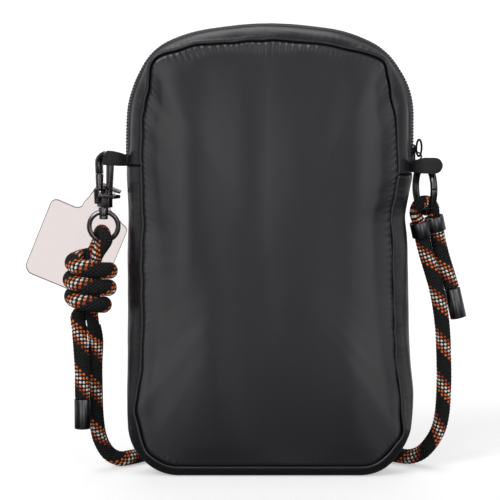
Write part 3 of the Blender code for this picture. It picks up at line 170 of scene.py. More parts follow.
def noise_on(tree, scale, detail, place=None):
    """Noise on Object coordinates, or on those given."""
    if place is None:
        place = add(tree, "ShaderNodeTexCoord").outputs["Object"]
    return add(tree, "ShaderNodeTexNoise", {"Vector": place, "Scale": scale, "Detail": detail}).outputs[0]


def ramp_node(tree, value, stops, interpolation="LINEAR"):
    """Colours by a value from 0 to 1. Each stop is a place and a colour."""
    node = add(tree, "ShaderNodeValToRGB", {0: value})
    node.color_ramp.interpolation = interpolation
    elements = node.color_ramp.elements
    while len(elements) < len(stops):
        elements.new(1.0)
    for element, (place, colour) in zip(elements, stops):
        element.position, element.color = place, colour
    return node.outputs[0]


def tinted(tree, shader, colour, amount):
    """Gives the shader a colour, made lighter or darker by an amount."""
    tint = add(tree, "ShaderNodeVectorMath", {0: colour, "Scale": amount}, operation="SCALE")
    tree.links.new(tint.outputs[0], shader.inputs["Base Color"])


def bumped(tree, shader, height, strength, distance):
    bump = add(tree, "ShaderNodeBump", {"Height": height, "Strength": strength, "Distance": distance})
    tree.links.new(bump.outputs[0], shader.inputs["Normal"])


def new_material(name, roughness, metallic=0.0, **sockets):
    made = bpy.data.materials.new(name)
    made.use_nodes = True
    tree = made.node_tree
    shader = tree.nodes["Principled BSDF"]
    for key, value in {"Roughness": roughness, "Metallic": metallic, **sockets}.items():
        shader.inputs[key.replace("_", " ")].default_value = value
    return made, tree, shader


def linear(r, g, b):
    """A colour written as it looks on screen, 0 to 255, in the linear values that shaders take."""
    shares = (part / 255 for part in (r, g, b))
    return (*(s / 12.92 if s <= 0.04045 else ((s + 0.055) / 1.055) ** 2.4 for s in shares), 1.0)


def linked(name, data):
    obj = bpy.data.objects.new(name, data)
    bpy.context.scene.collection.objects.link(obj)
    return obj


def mesh_object(name, mesh, mat, body, slot, *nodes):
    """Puts a finished mesh in the scene, on its body, in place of its construction solids."""
    obj = linked(name, mesh)
    mesh.materials.clear()
    mesh.materials.append(mat)
    if body:
        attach(obj, body)
    if nodes:
        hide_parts(*nodes)
    return obj


def smoothed(mesh, sharp=None):
    """Shades a mesh smooth, but for edges that bend more than some degrees."""
    mesh.shade_smooth()
    if sharp:
        mesh.set_sharp_from_angle(angle=math.radians(sharp))
    return mesh


def outward(mesh, sharp=None):
    bm = bmesh.new()
    bm.from_mesh(mesh)
    bmesh.ops.recalc_face_normals(bm, faces=bm.faces)
    bm.to_mesh(mesh)
    bm.free()
    return smoothed(mesh, sharp)


def lofted(name, rows, uv, ends="cap", smooth=None):
    """A closed skin over rows of points, each row a closed ring. uv has one more column than the rows."""
    rows = np.asarray(rows)
    count, width = rows.shape[:2]
    points = [tuple(p) for p in rows.reshape(-1, 3)]
    faces, corners = [], []
    for k in range(count - 1):
        for j in range(width):
            i = (j + 1) % width
            faces.append((k * width + j, k * width + i, (k + 1) * width + i, (k + 1) * width + j))
            corners += [uv[k][j], uv[k][j + 1], uv[k + 1][j + 1], uv[k + 1][j]]
    for k, turn in ((0, -1), (count - 1, 1)):
        ring = [k * width + j for j in range(width)]
        if ends == "cap":
            faces.append(tuple(ring[::turn]))
            corners += [uv[k][j] for j in range(width)][::turn]
        if ends == "point":
            points.append(tuple(rows[k].mean(axis=0)))
            middle_uv = np.mean([uv[k][j] for j in range(width)], axis=0)
            for j in range(width):
                i = (j + 1) % width
                faces.append((ring[j], ring[i], len(points) - 1))
                corners += [uv[k][j], uv[k][j + 1], middle_uv]
    mesh = bpy.data.meshes.new(name)
    mesh.from_pydata(points, [], faces)
    layer = mesh.uv_layers.new(name="cloth")
    layer.data.foreach_set("uv", np.array(corners, float).ravel())
    return outward(mesh, smooth)


def joined(name, meshes):
    bm = bmesh.new()
    for mesh in meshes:
        bm.from_mesh(mesh)
    made = bpy.data.meshes.new(name)
    bm.to_mesh(made)
    bm.free()
    return made


def evaluated_mesh(obj):
    graph = bpy.context.evaluated_depsgraph_get()
    mesh = bpy.data.meshes.new_from_object(obj.evaluated_get(graph))
    bpy.data.objects.remove(obj)
    return mesh


# Repeated small shapes, set out on points by Geometry Nodes

GRAIN_WORDS = ("out", "along", "size")


def set_out_tree():
    """Instances a rounded grain on each point, turned and scaled by the point's own attributes."""
    tree = bpy.data.node_groups.new("set_out_grains", "GeometryNodeTree")
    for word, kind in (("Points", "Geometry"), ("Detail", "Int"), ("Material", "Material")):
        tree.interface.new_socket(word, in_out="INPUT", socket_type=f"NodeSocket{kind}")
    tree.interface.new_socket("Geometry", in_out="OUTPUT", socket_type="NodeSocketGeometry")
    given = add(tree, "NodeGroupInput")
    grain = add(tree, "GeometryNodeMeshIcoSphere", {"Radius": 1.0, "Subdivisions": given.outputs["Detail"]})
    smooth = add(tree, "GeometryNodeSetShadeSmooth", {"Geometry": grain.outputs[0], "Shade Smooth": True})
    named = {}
    for word in GRAIN_WORDS:
        node = add(tree, "GeometryNodeInputNamedAttribute", {"Name": word}, data_type="FLOAT_VECTOR")
        named[word] = node.outputs[0]
    turn = add(
        tree,
        "FunctionNodeAxesToRotation",
        {"Primary Axis": named["out"], "Secondary Axis": named["along"]},
        primary_axis="Z",
        secondary_axis="X",
    )
    spread = add(
        tree,
        "GeometryNodeInstanceOnPoints",
        {
            "Points": given.outputs["Points"],
            "Instance": smooth.outputs[0],
            "Rotation": turn.outputs[0],
            "Scale": named["size"],
        },
    )
    real = add(tree, "GeometryNodeRealizeInstances", {"Geometry": spread.outputs[0]})
    painted = {"Geometry": real.outputs[0], "Material": given.outputs["Material"]}
    add(tree, "NodeGroupOutput", {0: add(tree, "GeometryNodeSetMaterial", painted).outputs[0]})
    return tree


def set_out(name, tree, points, out, along, size, mat, detail=1, yarn=None):
    """The mesh of grains at those points: their outward and lengthwise directions, and half sizes."""
    mesh = bpy.data.meshes.new(name)
    mesh.from_pydata([tuple(p) for p in points], [], [])
    for word, values in zip(GRAIN_WORDS, (out, along, size)):
        layer = mesh.attributes.new(word, "FLOAT_VECTOR", "POINT")
        layer.data.foreach_set("vector", np.asarray(values, np.float32).ravel())
    if yarn is not None:
        layer = mesh.attributes.new("yarn", "FLOAT", "POINT")
        layer.data.foreach_set("value", np.asarray(yarn, np.float32))
    obj = linked(name, mesh)
    modifier = obj.modifiers.new("grains", "NODES")
    modifier.node_group = tree
    inputs = {item.name: item.identifier for item in tree.interface.items_tree if item.in_out == "INPUT"}
    modifier[inputs["Detail"]] = detail
    modifier[inputs["Material"]] = mat
    bpy.context.view_layer.update()
    made = evaluated_mesh(obj)
    for word in GRAIN_WORDS:
        if word in made.attributes:
            made.attributes.remove(made.attributes[word])
    return made


# Materials

WEAVE_DEPTH = 0.025 * MM
FIBRE_SCALE = 900.0  # of the mottle between single threads, per metre
FIBRE_SHADE = 0.16
FIBRE_HEIGHT = 0.6  # beside the weave's own
SCRATCH_SCALE = 2600.0
SCRATCH_STRETCH = (1.0, 1.0, 0.12)
SCRATCH_ROUGHNESS = 0.18
RUBBED_FROM, RUBBED_TO = 0.35, 0.75  # in a metal's mottle
YARN_COLOURS = [linear(16, 18, 18), linear(228, 116, 58), linear(238, 232, 226), linear(152, 60, 40)]


def cloth_material(name, base, roughness, pitch, strength=0.35, spread=0.1, scale=14.0, gloss=0.5):
    """Plain weave on the cloth's own UV in metres, with soft changes of shade over the piece."""
    made, tree, shader = new_material(name, roughness, Specular_IOR_Level=gloss)
    uv = add(tree, "ShaderNodeUVMap", uv_map="cloth")
    parts = add(tree, "ShaderNodeSeparateXYZ", {0: uv.outputs[0]})
    phases = [math_node(tree, "MULTIPLY", parts.outputs[axis], 2 * math.pi / pitch) for axis in "XY"]
    thread = math_node(tree, "MULTIPLY", *(math_node(tree, "SINE", phase) for phase in phases))
    fine = noise_on(tree, FIBRE_SCALE, 2.0)
    shade = scaled(tree, noise_on(tree, scale, 3.0), 2 * spread, 1 - spread)
    grain = scaled(tree, fine, FIBRE_SHADE, 1 - FIBRE_SHADE / 2)
    tinted(tree, shader, base[:3], math_node(tree, "MULTIPLY", shade, grain))
    bumped(tree, shader, scaled(tree, fine, FIBRE_HEIGHT, thread), strength, WEAVE_DEPTH)
    return made


def metal_material(name, base, roughness, wear, metallic=1.0):
    """Plated metal with a faint mottle and fine scratches, a little brighter where it is rubbed."""
    made, tree, shader = new_material(name, roughness, metallic)
    place = add(tree, "ShaderNodeTexCoord").outputs["Object"]
    stretch = add(tree, "ShaderNodeMapping", {"Vector": place, "Scale": SCRATCH_STRETCH})
    scratch = noise_on(tree, SCRATCH_SCALE, 3.0, stretch.outputs[0])
    dull = (*(c * (1 - wear / 2) for c in base[:3]), 1.0)
    rubbed = (*(min(1.0, c * (1 + wear)) for c in base[:3]), 1.0)
    mottle = ramp_node(tree, noise_on(tree, 320.0, 4.0, place), [(RUBBED_FROM, dull), (RUBBED_TO, rubbed)])
    tree.links.new(mottle, shader.inputs["Base Color"])
    rough = scaled(tree, scratch, SCRATCH_ROUGHNESS, roughness - SCRATCH_ROUGHNESS / 2)
    tree.links.new(rough, shader.inputs["Roughness"])
    bumped(tree, shader, scratch, 0.12, 0.03 * MM)
    return made


def rope_material():
    """Yarn colours by the braid's own attribute, in quarters of it, with a fine fibre bump."""
    made, tree, shader = new_material("braided_rope", 0.75)
    yarn = add(tree, "ShaderNodeAttribute", attribute_name="yarn").outputs["Fac"]
    stops = [(max(0.0, k / 4 - 0.125), colour) for k, colour in enumerate(YARN_COLOURS)]
    fibre = noise_on(tree, 2200.0, 3.0)
    tinted(tree, shader, ramp_node(tree, yarn, stops, "CONSTANT"), scaled(tree, fibre, 0.5, 0.75))
    bumped(tree, shader, fibre, 0.5, 0.1 * MM)
    return made


def film_material():
    """Clear, faintly smoky film with a painted dark edge (painted shade where light leaves the film) and
    uneven gloss.
    """
    made, tree, shader = new_material("clear_film", 0.06, Transmission_Weight=1.0, IOR=1.3)
    edge = add(tree, "ShaderNodeAttribute", attribute_name="edge").outputs["Fac"]
    # B is painted shade: the darker colour of the film's rim, standing in for light leaving its edge
    colours = {"Factor": edge, "A": linear(224, 214, 212), "B": linear(96, 88, 86)}
    tint = add(tree, "ShaderNodeMix", colours, data_type="RGBA")
    tree.links.new(tint.outputs["Result"], shader.inputs["Base Color"])
    cloud = noise_on(tree, 60.0, 4.0)
    tree.links.new(scaled(tree, cloud, 0.1, 0.03), shader.inputs["Roughness"])
    bumped(tree, shader, cloud, 0.15, 0.4 * MM)
    return made


# The pouch's outline

INSET_STEP = 1.5 * MM
INSET_BLEND = 9 * MM  # reach over which one seam inset goes over into the next
ABOVE_LOOPS = 60 * MM  # the zip's ends are sought above this height


def outline_corners():
    """x, z, corner radius, seam inset and flat depth at each corner, from the lower right one up."""
    top = BODY_HEIGHT / MM
    rows = [
        (RIGHT, -1.2, 0, BASE_CORNER_R / MM, BASE_INSET),
        (RIGHT, 0, 36, 60, SIDE_INSET),
        (RIGHT, -2.0, 92, 60, SIDE_INSET),
        (RIGHT, -3.6, 118, 20, SIDE_INSET),
        (RIGHT, 0, 136, 20, SIDE_INSET),
        (RIGHT, 0, top - 31.0, 36, SIDE_INSET),
        (RIGHT, -12.3, top - 12.0, 30, CORNER_INSET),
        (RIGHT, -30.5, top - 3.8, 60, TOP_INSET),
        (0, -2.0, top + 0.6, 150, TOP_INSET),
        (LEFT, 29.6, top - 3.6, 60, TOP_INSET),
        (LEFT, 12.0, top - 11.4, 30, CORNER_INSET),
        (LEFT, 0, top - 31.0, 36, SIDE_INSET),
        (LEFT, 0, 136, 60, SIDE_INSET),
        (LEFT, 1.0, 116, 60, SIDE_INSET),
        (LEFT, 0, 60, 100, SIDE_INSET),
        (LEFT, 1.0, 0, BASE_CORNER_R / MM, BASE_INSET),
    ]
    flats = {BASE_INSET: BASE_FLAT / 2}
    return [
        (x + off * MM, z * MM, radius * MM, inset, flats.get(inset, GUSSET_FLAT / 2))
        for x, off, z, radius, inset in rows
    ]


def rounded_outline(corners, arc_step=math.radians(3)):
    """Rows of x, z, outward normal x and z, inset and flat depth, once round the outline."""
    rows = []
    for k, corner in enumerate(corners):
        here = Vector(corner[:2])
        came = (here - Vector(corners[k - 1][:2])).normalized()
        goes = (Vector(corners[(k + 1) % len(corners)][:2]) - here).normalized()
        turn = math.atan2(came.x * goes.y - came.y * goes.x, came.dot(goes))
        cut = corner[2] * math.tan(abs(turn) / 2)
        centre = here - came * cut + Vector((-came.y, came.x)) * math.copysign(corner[2], turn)
        steps = max(1, math.ceil(abs(turn) / arc_step))
        for step in range(steps + 1):
            along = Matrix.Rotation(turn * step / steps, 2) @ came
            normal = Vector((along.y, -along.x))
            point = centre + normal * math.copysign(corner[2], turn)
            rows.append([*point, *normal, *corner[3:]])
    return np.array(rows)


class Outline:
    """The pouch's outline, read at any distance along it."""

    def __init__(self):
        rows = rounded_outline(outline_corners())
        steps = np.linalg.norm(np.roll(rows[:, :2], -1, axis=0) - rows[:, :2], axis=1)
        self.length = steps.sum()
        self.marks = np.concatenate([[0], np.cumsum(steps)[:-1]])
        self.rows = rows
        even = np.arange(0, self.length, INSET_STEP)
        away = np.abs(even[:, None] - even[None, :])
        away = np.minimum(away, self.length - away)
        weight = np.exp(-((away / INSET_BLEND) ** 2))
        inset = np.interp(even, self.marks, rows[:, 4], period=self.length)
        self.even, self.inset = even, (weight * inset).sum(axis=1) / weight.sum(axis=1)

    def at(self, marks):
        """x, z, normal x and z, inset and flat depth at those distances."""
        got = [np.interp(marks, self.marks, self.rows[:, k], period=self.length) for k in range(6)]
        got[4] = np.interp(marks, self.even, self.inset, period=self.length)
        size = np.hypot(got[2], got[3])
        got[2], got[3] = got[2] / size, got[3] / size
        got[4] = got[4] + seam_wander(got[0], got[1], marks)
        inward = shifted(OUTLINE_SHIFTS, got[0], got[1])
        got[0], got[1] = got[0] - got[2] * inward, got[1] - got[3] * inward
        return got

    def crossing(self, height, right):
        """Distance along the outline where it passes a height on its right or left side."""
        fine = np.arange(0, self.length, 0.1 * MM)
        x, z = self.at(fine)[:2]
        side = (x > 0) if right else (x < 0)
        near = np.where(side & (z > ABOVE_LOOPS), np.abs(z - height), 1.0)
        return fine[near.argmin()]


# Where the seams leave their even line: middle x and z, reach, and shift inwards
SEAM_SHIFTS = [
    ((-60, 32), 8, -1.9),
    ((-60, 19), 5, 1.1),
    ((-58, 10), 4, -0.7),
    ((60, 35), 9, -0.8),
    ((60, 20), 7, -1.9),
    ((-52, 190), 9, -2.9),
    ((-34, 202), 9, -1.5),
    ((52, 190), 8, -1.7),
    ((63, 172), 14, 1.7),
]

# Where the cloth lies within the even outline, as the seams are
OUTLINE_SHIFTS = [
    ((-62, 176), 14, 1.1),
    ((-30, 204), 22, 0.5),
    ((-64, 100), 16, -0.7),
    ((62, 108), 12, -0.7),
    ((-64, 34), 16, -0.8),
    ((64, 36), 14, -1.2),
    ((61, 10), 9, 0.9),
]

# Where a seam stands open as a groove: middle x and z, reach, and share of its full width
SEAM_GROOVES = [
    ((-54, 184), 26, 0.9),
    ((0, 198), 40, 0.7),
    ((54, 182), 24, 1.0),
    ((-58, 20), 24, 1.0),
    ((58, 20), 24, 0.9),
    ((0, 4), 40, 0.5),
]


def shifted(table, x, z):
    total = 0 * x
    for (at_x, at_z), reach, amount in table:
        away = ((x / MM - at_x) ** 2 + (z / MM - at_z) ** 2) / reach**2
        total = total + amount * MM * np.exp(-away)
    return total


def seam_wander(x, z, marks):
    """How far the seam lies inwards of its even line: a few shifts, and the pull of the stitches."""
    shift = 0.16 * MM * np.sin(marks / (2.6 * MM) + 1.7 * np.sin(marks / (11 * MM)))
    return shift * np.clip(z / (12 * MM), 0, 1) + shifted(SEAM_SHIFTS, x, z)


def cloud(x, y, z):
    """Smooth noise from about -1 to 1 at points given in units of its grain."""
    flat = zip(np.ravel(x), np.ravel(y), np.ravel(z))
    return np.array([noise.noise(Vector(p)) for p in flat]).reshape(np.shape(x))


def seam_share(y, flat):
    return (np.maximum(0, np.abs(y) - flat) / (HALF_SEAM - flat)) ** 2


# Cloth pieces

# Distances in mm from a panel's rim to the rings of its outer face
PANEL_RINGS = (0, 0.12, 0.3, 0.55, 0.85, 1.2, 1.6, 2.1, 2.7, 3.4, 4.2, 5.1, 6.1, 7.2, 8.4, 9.8, 11.4)
PANEL_RINGS += (13.2, 15.2, *np.arange(17.5, 60, 2.5))
INNER_SHARES = (0.9, 0.6, 0.35, 0.18, 0.08, 0.03, 0.0)

# Soft upright swells of the back: middle x and z, half width and half height, rise
BACK_SWELLS = [
    (-37.0, 138.0, 14.0, 60.0, 1.5),
    (42.0, 142.0, 13.0, 50.0, 1.4),
    (17.0, 118.0, 15.0, 46.0, 0.6),
    (-26.0, 46.0, 8.0, 36.0, 0.7),
    (-8.0, 150.0, 13.0, 36.0, -0.9),
    (-50.0, 70.0, 7.0, 50.0, -0.5),
    (36.0, 44.0, 15.0, 30.0, 0.6),
]

SWELL_GRAIN, SWELL_RISE = (0.030, 0.085), 0.5 * MM  # across and up, in metres, and rise
CREASE_GRAIN, CREASE_RISE = (0.011, 0.034), 0.16 * MM
SWELL_REACH = 9 * MM  # from the rim to where the swells have their full height
PUCKER_PITCH = 3.1 * MM
GATHERED_FROM = 186 * MM  # height above which the panel is gathered most
GATHERED_MIDDLE = -8 * MM
GATHERED_HALF = 38 * MM


def swells(x, z, side):
    total = SWELL_RISE * cloud(x / SWELL_GRAIN[0] + 3 * side, z * 0, z / SWELL_GRAIN[1])
    total = total + CREASE_RISE * cloud(x / CREASE_GRAIN[0] + 9 * side, z * 0 + 2, z / CREASE_GRAIN[1])
    for at_x, at_z, half_x, half_z, rise in BACK_SWELLS:
        reach = ((x / MM * -side - at_x) / half_x) ** 2 + ((z / MM - at_z) / half_z) ** 2
        total = total + rise * MM * np.exp(-reach)
    return total


def puckers(x, z, marks, depth):
    """Short upright gathers where the seam draws the panel in, strongest along the top."""
    uneven = 2.2 * np.sin(marks / (7.3 * MM)) + np.sin(marks / (3.7 * MM))
    wave = np.sin(2 * math.pi * marks / PUCKER_PITCH + uneven)
    top = np.clip((z - GATHERED_FROM) / (8 * MM), 0, 1)
    top = top * np.exp(-(((x - GATHERED_MIDDLE) / GATHERED_HALF) ** 4))
    strength = 0.07 + 0.42 * top * (0.6 + 0.4 * np.sin(marks / (4.3 * MM)))
    reach = 2.6 * MM + 3.4 * MM * top * (0.5 + 0.5 * np.sin(marks / (5.1 * MM)))
    return strength * MM * wave * np.exp(-((depth / reach) ** 2)) * np.clip(depth / (0.6 * MM), 0, 1)


def rolled(depth, width=ROLL, drop=ROLL_DEPTH):
    """How far an edge rolls down into its seam at a distance from it."""
    share = np.clip(1 - depth / width, 0, 1)
    return drop * (1 - np.sqrt(np.maximum(0, 1 - share**2)))


def drawn_in(rim_x, rim_z, share):
    """A panel's rim drawn in by a share to its middle, and how far out the panel lies there."""
    return rim_x * (1 - share), rim_z + (BODY_HEIGHT / 2 - rim_z) * share, crowned(share)


def crowned(share):
    return HALF_SEAM + PANEL_CROWN * (1 - (1 - share) ** 3)


def add_ring(rows, uv, x, y, z):
    """One ring of a panel, with its x and z as the cloth's own UV."""
    rows.append(np.column_stack([x, y * np.ones_like(x), z]))
    wide = np.column_stack([x, z])
    uv.append(np.vstack([wide, wide[:1]]))


def panel_mesh(name, outline, side):
    """One panel: a crowned outer face that rolls into the seam, a plain inner face, closed at its rim."""
    marks = np.arange(0, outline.length - CLOTH_STEP / 2, CLOTH_STEP)
    x, z, nx, nz, inset, _ = outline.at(marks)
    opened = np.minimum(1, shifted(SEAM_GROOVES, x, z) / MM)
    rim = inset + SEAM_SHUT + (SEAM_AT - SEAM_SHUT) * opened
    rim_x, rim_z = x - nx * rim, z - nz * rim
    rows, uv = [], []
    for share, sink in [(share, 2 * ROLL_DEPTH) for share in INNER_SHARES] + [(0, 1.4 * ROLL_DEPTH)]:
        px, pz, out = drawn_in(rim_x, rim_z, share)
        tuck = TUCK if share == 0 else 0
        add_ring(rows, uv, px + nx * tuck, side * (out - sink), pz + nz * tuck)
    for away in PANEL_RINGS:
        px, pz, out = drawn_in(rim_x, rim_z, away * MM / PANEL_SPAN)
        depth = np.hypot(px - rim_x, pz - rim_z)
        swell = swells(px, pz, side) * np.clip(depth / SWELL_REACH, 0, 1)
        add_ring(rows, uv, px, side * (out - rolled(depth) + swell + puckers(px, pz, marks, depth)), pz)
    return lofted(name, rows, uv, ends="point")


# The nose of a gusset's edge: offset inwards of the seam inset, and depth past the seam plane
NOSE = [(-0.5, -0.42), (-0.1, -0.12), (0.3, 0.04), (0.7, 0.0), (1.0, -0.28), (1.15, -0.7), (1.2, -1.15)]
FOLD = [(0.32, 0.0), (0.08, 0.12), (0.0, 0.42), (0.0, 0.8), (0.1, 1.08)]  # past the edge, and sink
END_MARKS = np.array([0, 0.15, 0.35, 0.6, 0.9, 1.3]) * MM  # of a strip, at each of its ends
SKIN_TO = HALF_SEAM - 0.9 * MM  # where a strip's skin goes over into its nose
INNER_TO = SKIN_TO - 0.4 * MM
FOLD_GRAIN, FOLD_RISE = (0.0075, 0.034), 0.34 * MM  # across and along the gusset, in metres, and rise
GATHER_GRAIN, GATHER_RISE = (0.004, 0.011), 0.14 * MM
GATHER_PITCH = 3.3 * MM
GATHER_REACH = 3.2 * MM
LEAN_ENDS = 9 * MM  # over which the lean comes in at each end of the zip
LEAN_REACH = 3.6 * MM
END_ROLL, END_DROP = 1.2 * MM, 0.8 * MM


def strip_marks(start, end, step=CLOTH_STEP):
    """Distances along a strip, closer together at both ends."""
    last = END_MARKS[-1]
    middle = np.linspace(start + last, end - last, max(2, round((end - start) / step)))
    return np.concatenate([start + END_MARKS[:-1], middle, end - END_MARKS[:-1][::-1]])


def gusset_relief(x, y, z, marks):
    """Long soft folds of the gusset, with short gathers at its seams."""
    fold = FOLD_RISE * cloud(y / FOLD_GRAIN[0], np.sign(x), marks / FOLD_GRAIN[1])
    fold = fold + GATHER_RISE * cloud(y / GATHER_GRAIN[0] + 7, np.sign(x), marks / GATHER_GRAIN[1])
    wave = np.sin(2 * math.pi * marks / GATHER_PITCH + 2 * np.sin(marks / (8.1 * MM)))
    near = np.exp(-(((np.abs(y) - HALF_SEAM) / GATHER_REACH) ** 2))
    total = fold + 0.08 * MM * wave * near
    return total * np.clip(z / (6 * MM), 0, 1)


def zip_lean(nx, from_end):
    """How far the zip's borders lie in from the outline, which lets the teeth stand out of them."""
    lean = 0.5 + 1.2 * np.clip(nx, 0, 1) ** 1.5 + 0.6 * np.clip(-nx, 0, 1) ** 1.5
    ends = np.clip(from_end / LEAN_ENDS, 0, 1)
    return lean * MM * ends * ends * (3 - 2 * ends)


def lean_share(y):
    """All of the lean at the folded edge, less towards the teeth and towards the seam."""
    away = abs(y) - FACING_FROM
    if away < 0:
        return 0.15 + 0.85 * (y / FACING_FROM) ** 2
    return math.exp(-((away / LEAN_REACH) ** 2))


def strip_mesh(name, outline, marks, profile, wide, leans=False):
    """A strip of the gusset. Its profile is a closed loop of skin, seam and inner points."""
    x, z, nx, nz, inset, flat = outline.at(marks)
    from_end = np.minimum(marks - marks[0], marks[-1] - marks)
    lean = zip_lean(nx, from_end) if leans else 0 * nx
    rows = []
    for kind, y, offset in profile:
        if kind == "seam":
            inward = inset + offset
        else:
            inward = inset * seam_share(y, flat) + offset + lean * lean_share(y)
        if kind == "skin":
            inward = inward - gusset_relief(x, y * np.ones_like(x), z, marks)
        if kind != "inner":
            inward = inward + rolled(from_end, END_ROLL, END_DROP)
        rows.append(np.column_stack([x - nx * inward, y * np.ones_like(x), z - nz * inward]))
    uv = [[(mark, wide * k / len(profile)) for k in range(len(profile) + 1)] for mark in marks]
    return lofted(name, np.array(rows).transpose(1, 0, 2), uv)


def nose_points(side):
    return [("seam", side * (HALF_SEAM + b * MM), a * MM) for a, b in NOSE]


def lower_profile():
    outer = [("skin", y, 0.0) for y in np.linspace(-SKIN_TO, SKIN_TO, 26)]
    inner = [("inner", y, FABRIC) for y in np.linspace(INNER_TO, -INNER_TO, 8)]
    return outer + nose_points(1) + inner + nose_points(-1)[::-1]


def facing_profile(side):
    fold = [("edge", side * (FACING_FROM + a * MM), b * MM) for a, b in FOLD]
    outer = [("skin", side * y, 0.0) for y in np.linspace(FACING_FROM + 0.8 * MM, SKIN_TO, 10)]
    inner = [("inner", side * y, FABRIC) for y in np.linspace(INNER_TO, FACING_FROM + 0.5 * MM, 4)]
    return fold[::-1] + outer + nose_points(side) + inner


def flat_profile(low, high, sink, thick, steps=4):
    """A plain ribbon between two depths, with rounded edges."""
    outer = [("edge", y, sink) for y in np.linspace(low, high, steps)]
    inner = [("edge", y, sink + thick) for y in np.linspace(high, low, steps)]
    step = math.copysign(thick * 0.3, high - low)
    end, start = (("edge", y, sink + thick / 2) for y in (high + step, low - step))
    return [*outer, end, *inner, start]


SIDES = (("back", -1), ("front", 1))


def sided_object(name, mesh, mat, slot, side, *nodes):
    """A piece of the back, on the pouch's body, or one of the front, over the mouth flap too, left on no body
    with its place baked in.
    """
    piece = mesh_object(name, mesh, mat, "pouch" if side < 0 else None, slot, *nodes)
    if side > 0:
        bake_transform(piece)


def make_cloth(outline, nylon):
    """Panels, gusset and the zip's borders. Gives the distances along the outline of the zip's ends."""
    right, left = outline.crossing(ZIP_END_RIGHT, True), outline.crossing(ZIP_END_LEFT, False)
    for word, side in SIDES:
        nodes = ["back_panel"] if side < 0 else ["front_panel", "front_flap"]
        mesh = panel_mesh(f"{word}_cloth", outline, side)
        sided_object(f"{word}_cloth", mesh, nylon, "nylon", side, *nodes)
    low = strip_marks(left, right + outline.length)
    gusset = strip_mesh("gusset_cloth", outline, low, lower_profile(), 52 * MM)
    mesh_object("gusset_cloth", gusset, nylon, "pouch", "nylon", "lower_gusset")
    arch = strip_marks(right + GAP, left - GAP)
    for word, side in SIDES:
        name = f"zip_border_{word}"
        mesh = strip_mesh(name, outline, arch, facing_profile(side), 24 * MM, True)
        sided_object(name, mesh, nylon, "nylon", side, f"zip_facing_{word}")
    return right, left


LINING_SHARES = (0, 0.04, 0.1, 0.2, 0.35, 0.55, 0.8)  # of the way from a lining's rim to its middle


def make_linings(outline, lining, right, left):
    """Thin skins inside the panels and the gusset."""
    sink = FABRIC + 1.8 * GAP
    marks = np.arange(0, outline.length - 2 * MM, 4 * MM)
    x, z, nx, nz, inset, _ = outline.at(marks)
    rim = inset + 2 * FABRIC + GAP
    rim_x, rim_z = x - nx * rim, z - nz * rim
    rings = [(s, sink + LINING) for s in LINING_SHARES[::-1]] + [(s, sink) for s in LINING_SHARES]
    for word, side in SIDES:
        rows, uv = [], []
        for share, deep in rings:
            px, pz, out = drawn_in(rim_x, rim_z, share)
            add_ring(rows, uv, px, side * (out - deep), pz)
        mesh = lofted(f"lining_{word}", rows, uv, ends="point")
        nodes = ["back_lining"] if side < 0 else ["front_lining", "flap_lining"]
        sided_object(f"lining_{word}", mesh, lining, "lining_cloth", side, *nodes)
    low = strip_marks(left + 0.5 * MM, right - 0.5 * MM + outline.length, 3 * MM)
    reach = HALF_SEAM - 2 * (FABRIC + GAP)
    profile = flat_profile(-reach, reach, FABRIC + 3.8 * GAP, LINING, 8)
    mesh = strip_mesh("lining_gusset", outline, low, profile, 24 * MM)
    mesh_object("lining_gusset", mesh, lining, "pouch", "lining_cloth", "gusset_lining")


POCKET_SLACK = 0.9 * MM
POCKET_HEM = 0.35 * MM
HEM_FROM = 0.93  # share of the pocket's height


def make_pocket(lining):
    """The slip pocket on the back lining, with a little slack and a hem along its top."""
    low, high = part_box("slip_pocket")
    x = np.linspace(low.x, high.x, 24)
    slack = POCKET_SLACK * np.sin(math.pi * np.linspace(0, 1, len(x)))
    rows, uv = [], []
    for height in np.linspace(0, 1, 29):
        z = np.full_like(x, low.z + (high.z - low.z) * height)
        thick = LINING + (POCKET_HEM if height > HEM_FROM else 0.0) + slack * height
        inner, outer = (np.column_stack([x, y, z]) for y in (0 * x + low.y, low.y + thick))
        rows.append(np.vstack([inner, outer[::-1]]))
        wide = np.column_stack([x, z])
        uv.append(np.vstack([wide, wide[::-1], wide[:1]]))
    mesh = lofted("pocket_cloth", rows, uv, smooth=50)
    mesh_object("pocket_cloth", mesh, lining, "pouch", "lining_cloth", "slip_pocket")


# Zip

TOOTH_SINK = 0.02 * MM
TEETH_FROM = 1.2 * MM  # from the zip's end to its first tooth
SEAT_FROM, SEAT_TO, SEAT_OUT, SEAT_THICK = 1.1 * MM, 3.4 * MM, 0.15 * MM, 2.1 * MM


def make_zip(outline, tree, tape_mat, tooth_mat, right, left):
    arch = strip_marks(right + GAP, left - GAP, 1.6 * MM)
    for word, side in SIDES:
        profile = flat_profile(side * TAPE_FROM, side * TAPE_TO, FABRIC + GAP, TAPE, 6)
        mesh = strip_mesh(f"tape_{word}", outline, arch, profile, 16 * MM, True)
        sided_object(f"tape_{word}", mesh, tape_mat, "zip_tape", side, f"zip_tape_{word}")
        marks = np.arange(right + TEETH_FROM + (side > 0) * TOOTH_PITCH / 2, left - TEETH_FROM, TOOTH_PITCH)
        x, z, nx, nz, _, _ = outline.at(marks)
        points = np.column_stack([x - nx * TOOTH_SINK, np.full_like(x, side * TOOTH_AT), z - nz * TOOTH_SINK])
        out = np.column_stack([nx, 0 * nx, nz])
        along = np.column_stack([-nz, 0 * nx, nx])
        sizes = np.tile(TOOTH_SIZE, (len(x), 1))
        teeth = set_out(f"teeth_{word}", tree, points, out, along, sizes, tooth_mat, 2)
        cord = flat_profile(side * SEAT_FROM, side * SEAT_TO, -SEAT_OUT, SEAT_THICK)
        seat = strip_mesh("coil_seat", outline, arch, cord, 6 * MM, True)
        mesh = smoothed(joined(f"zip_teeth_{word}", [teeth, seat]))
        sided_object(f"zip_teeth_{word}", mesh, tooth_mat, "zip_coil", side, f"zip_coil_{word}")


# Side loops of folded tape


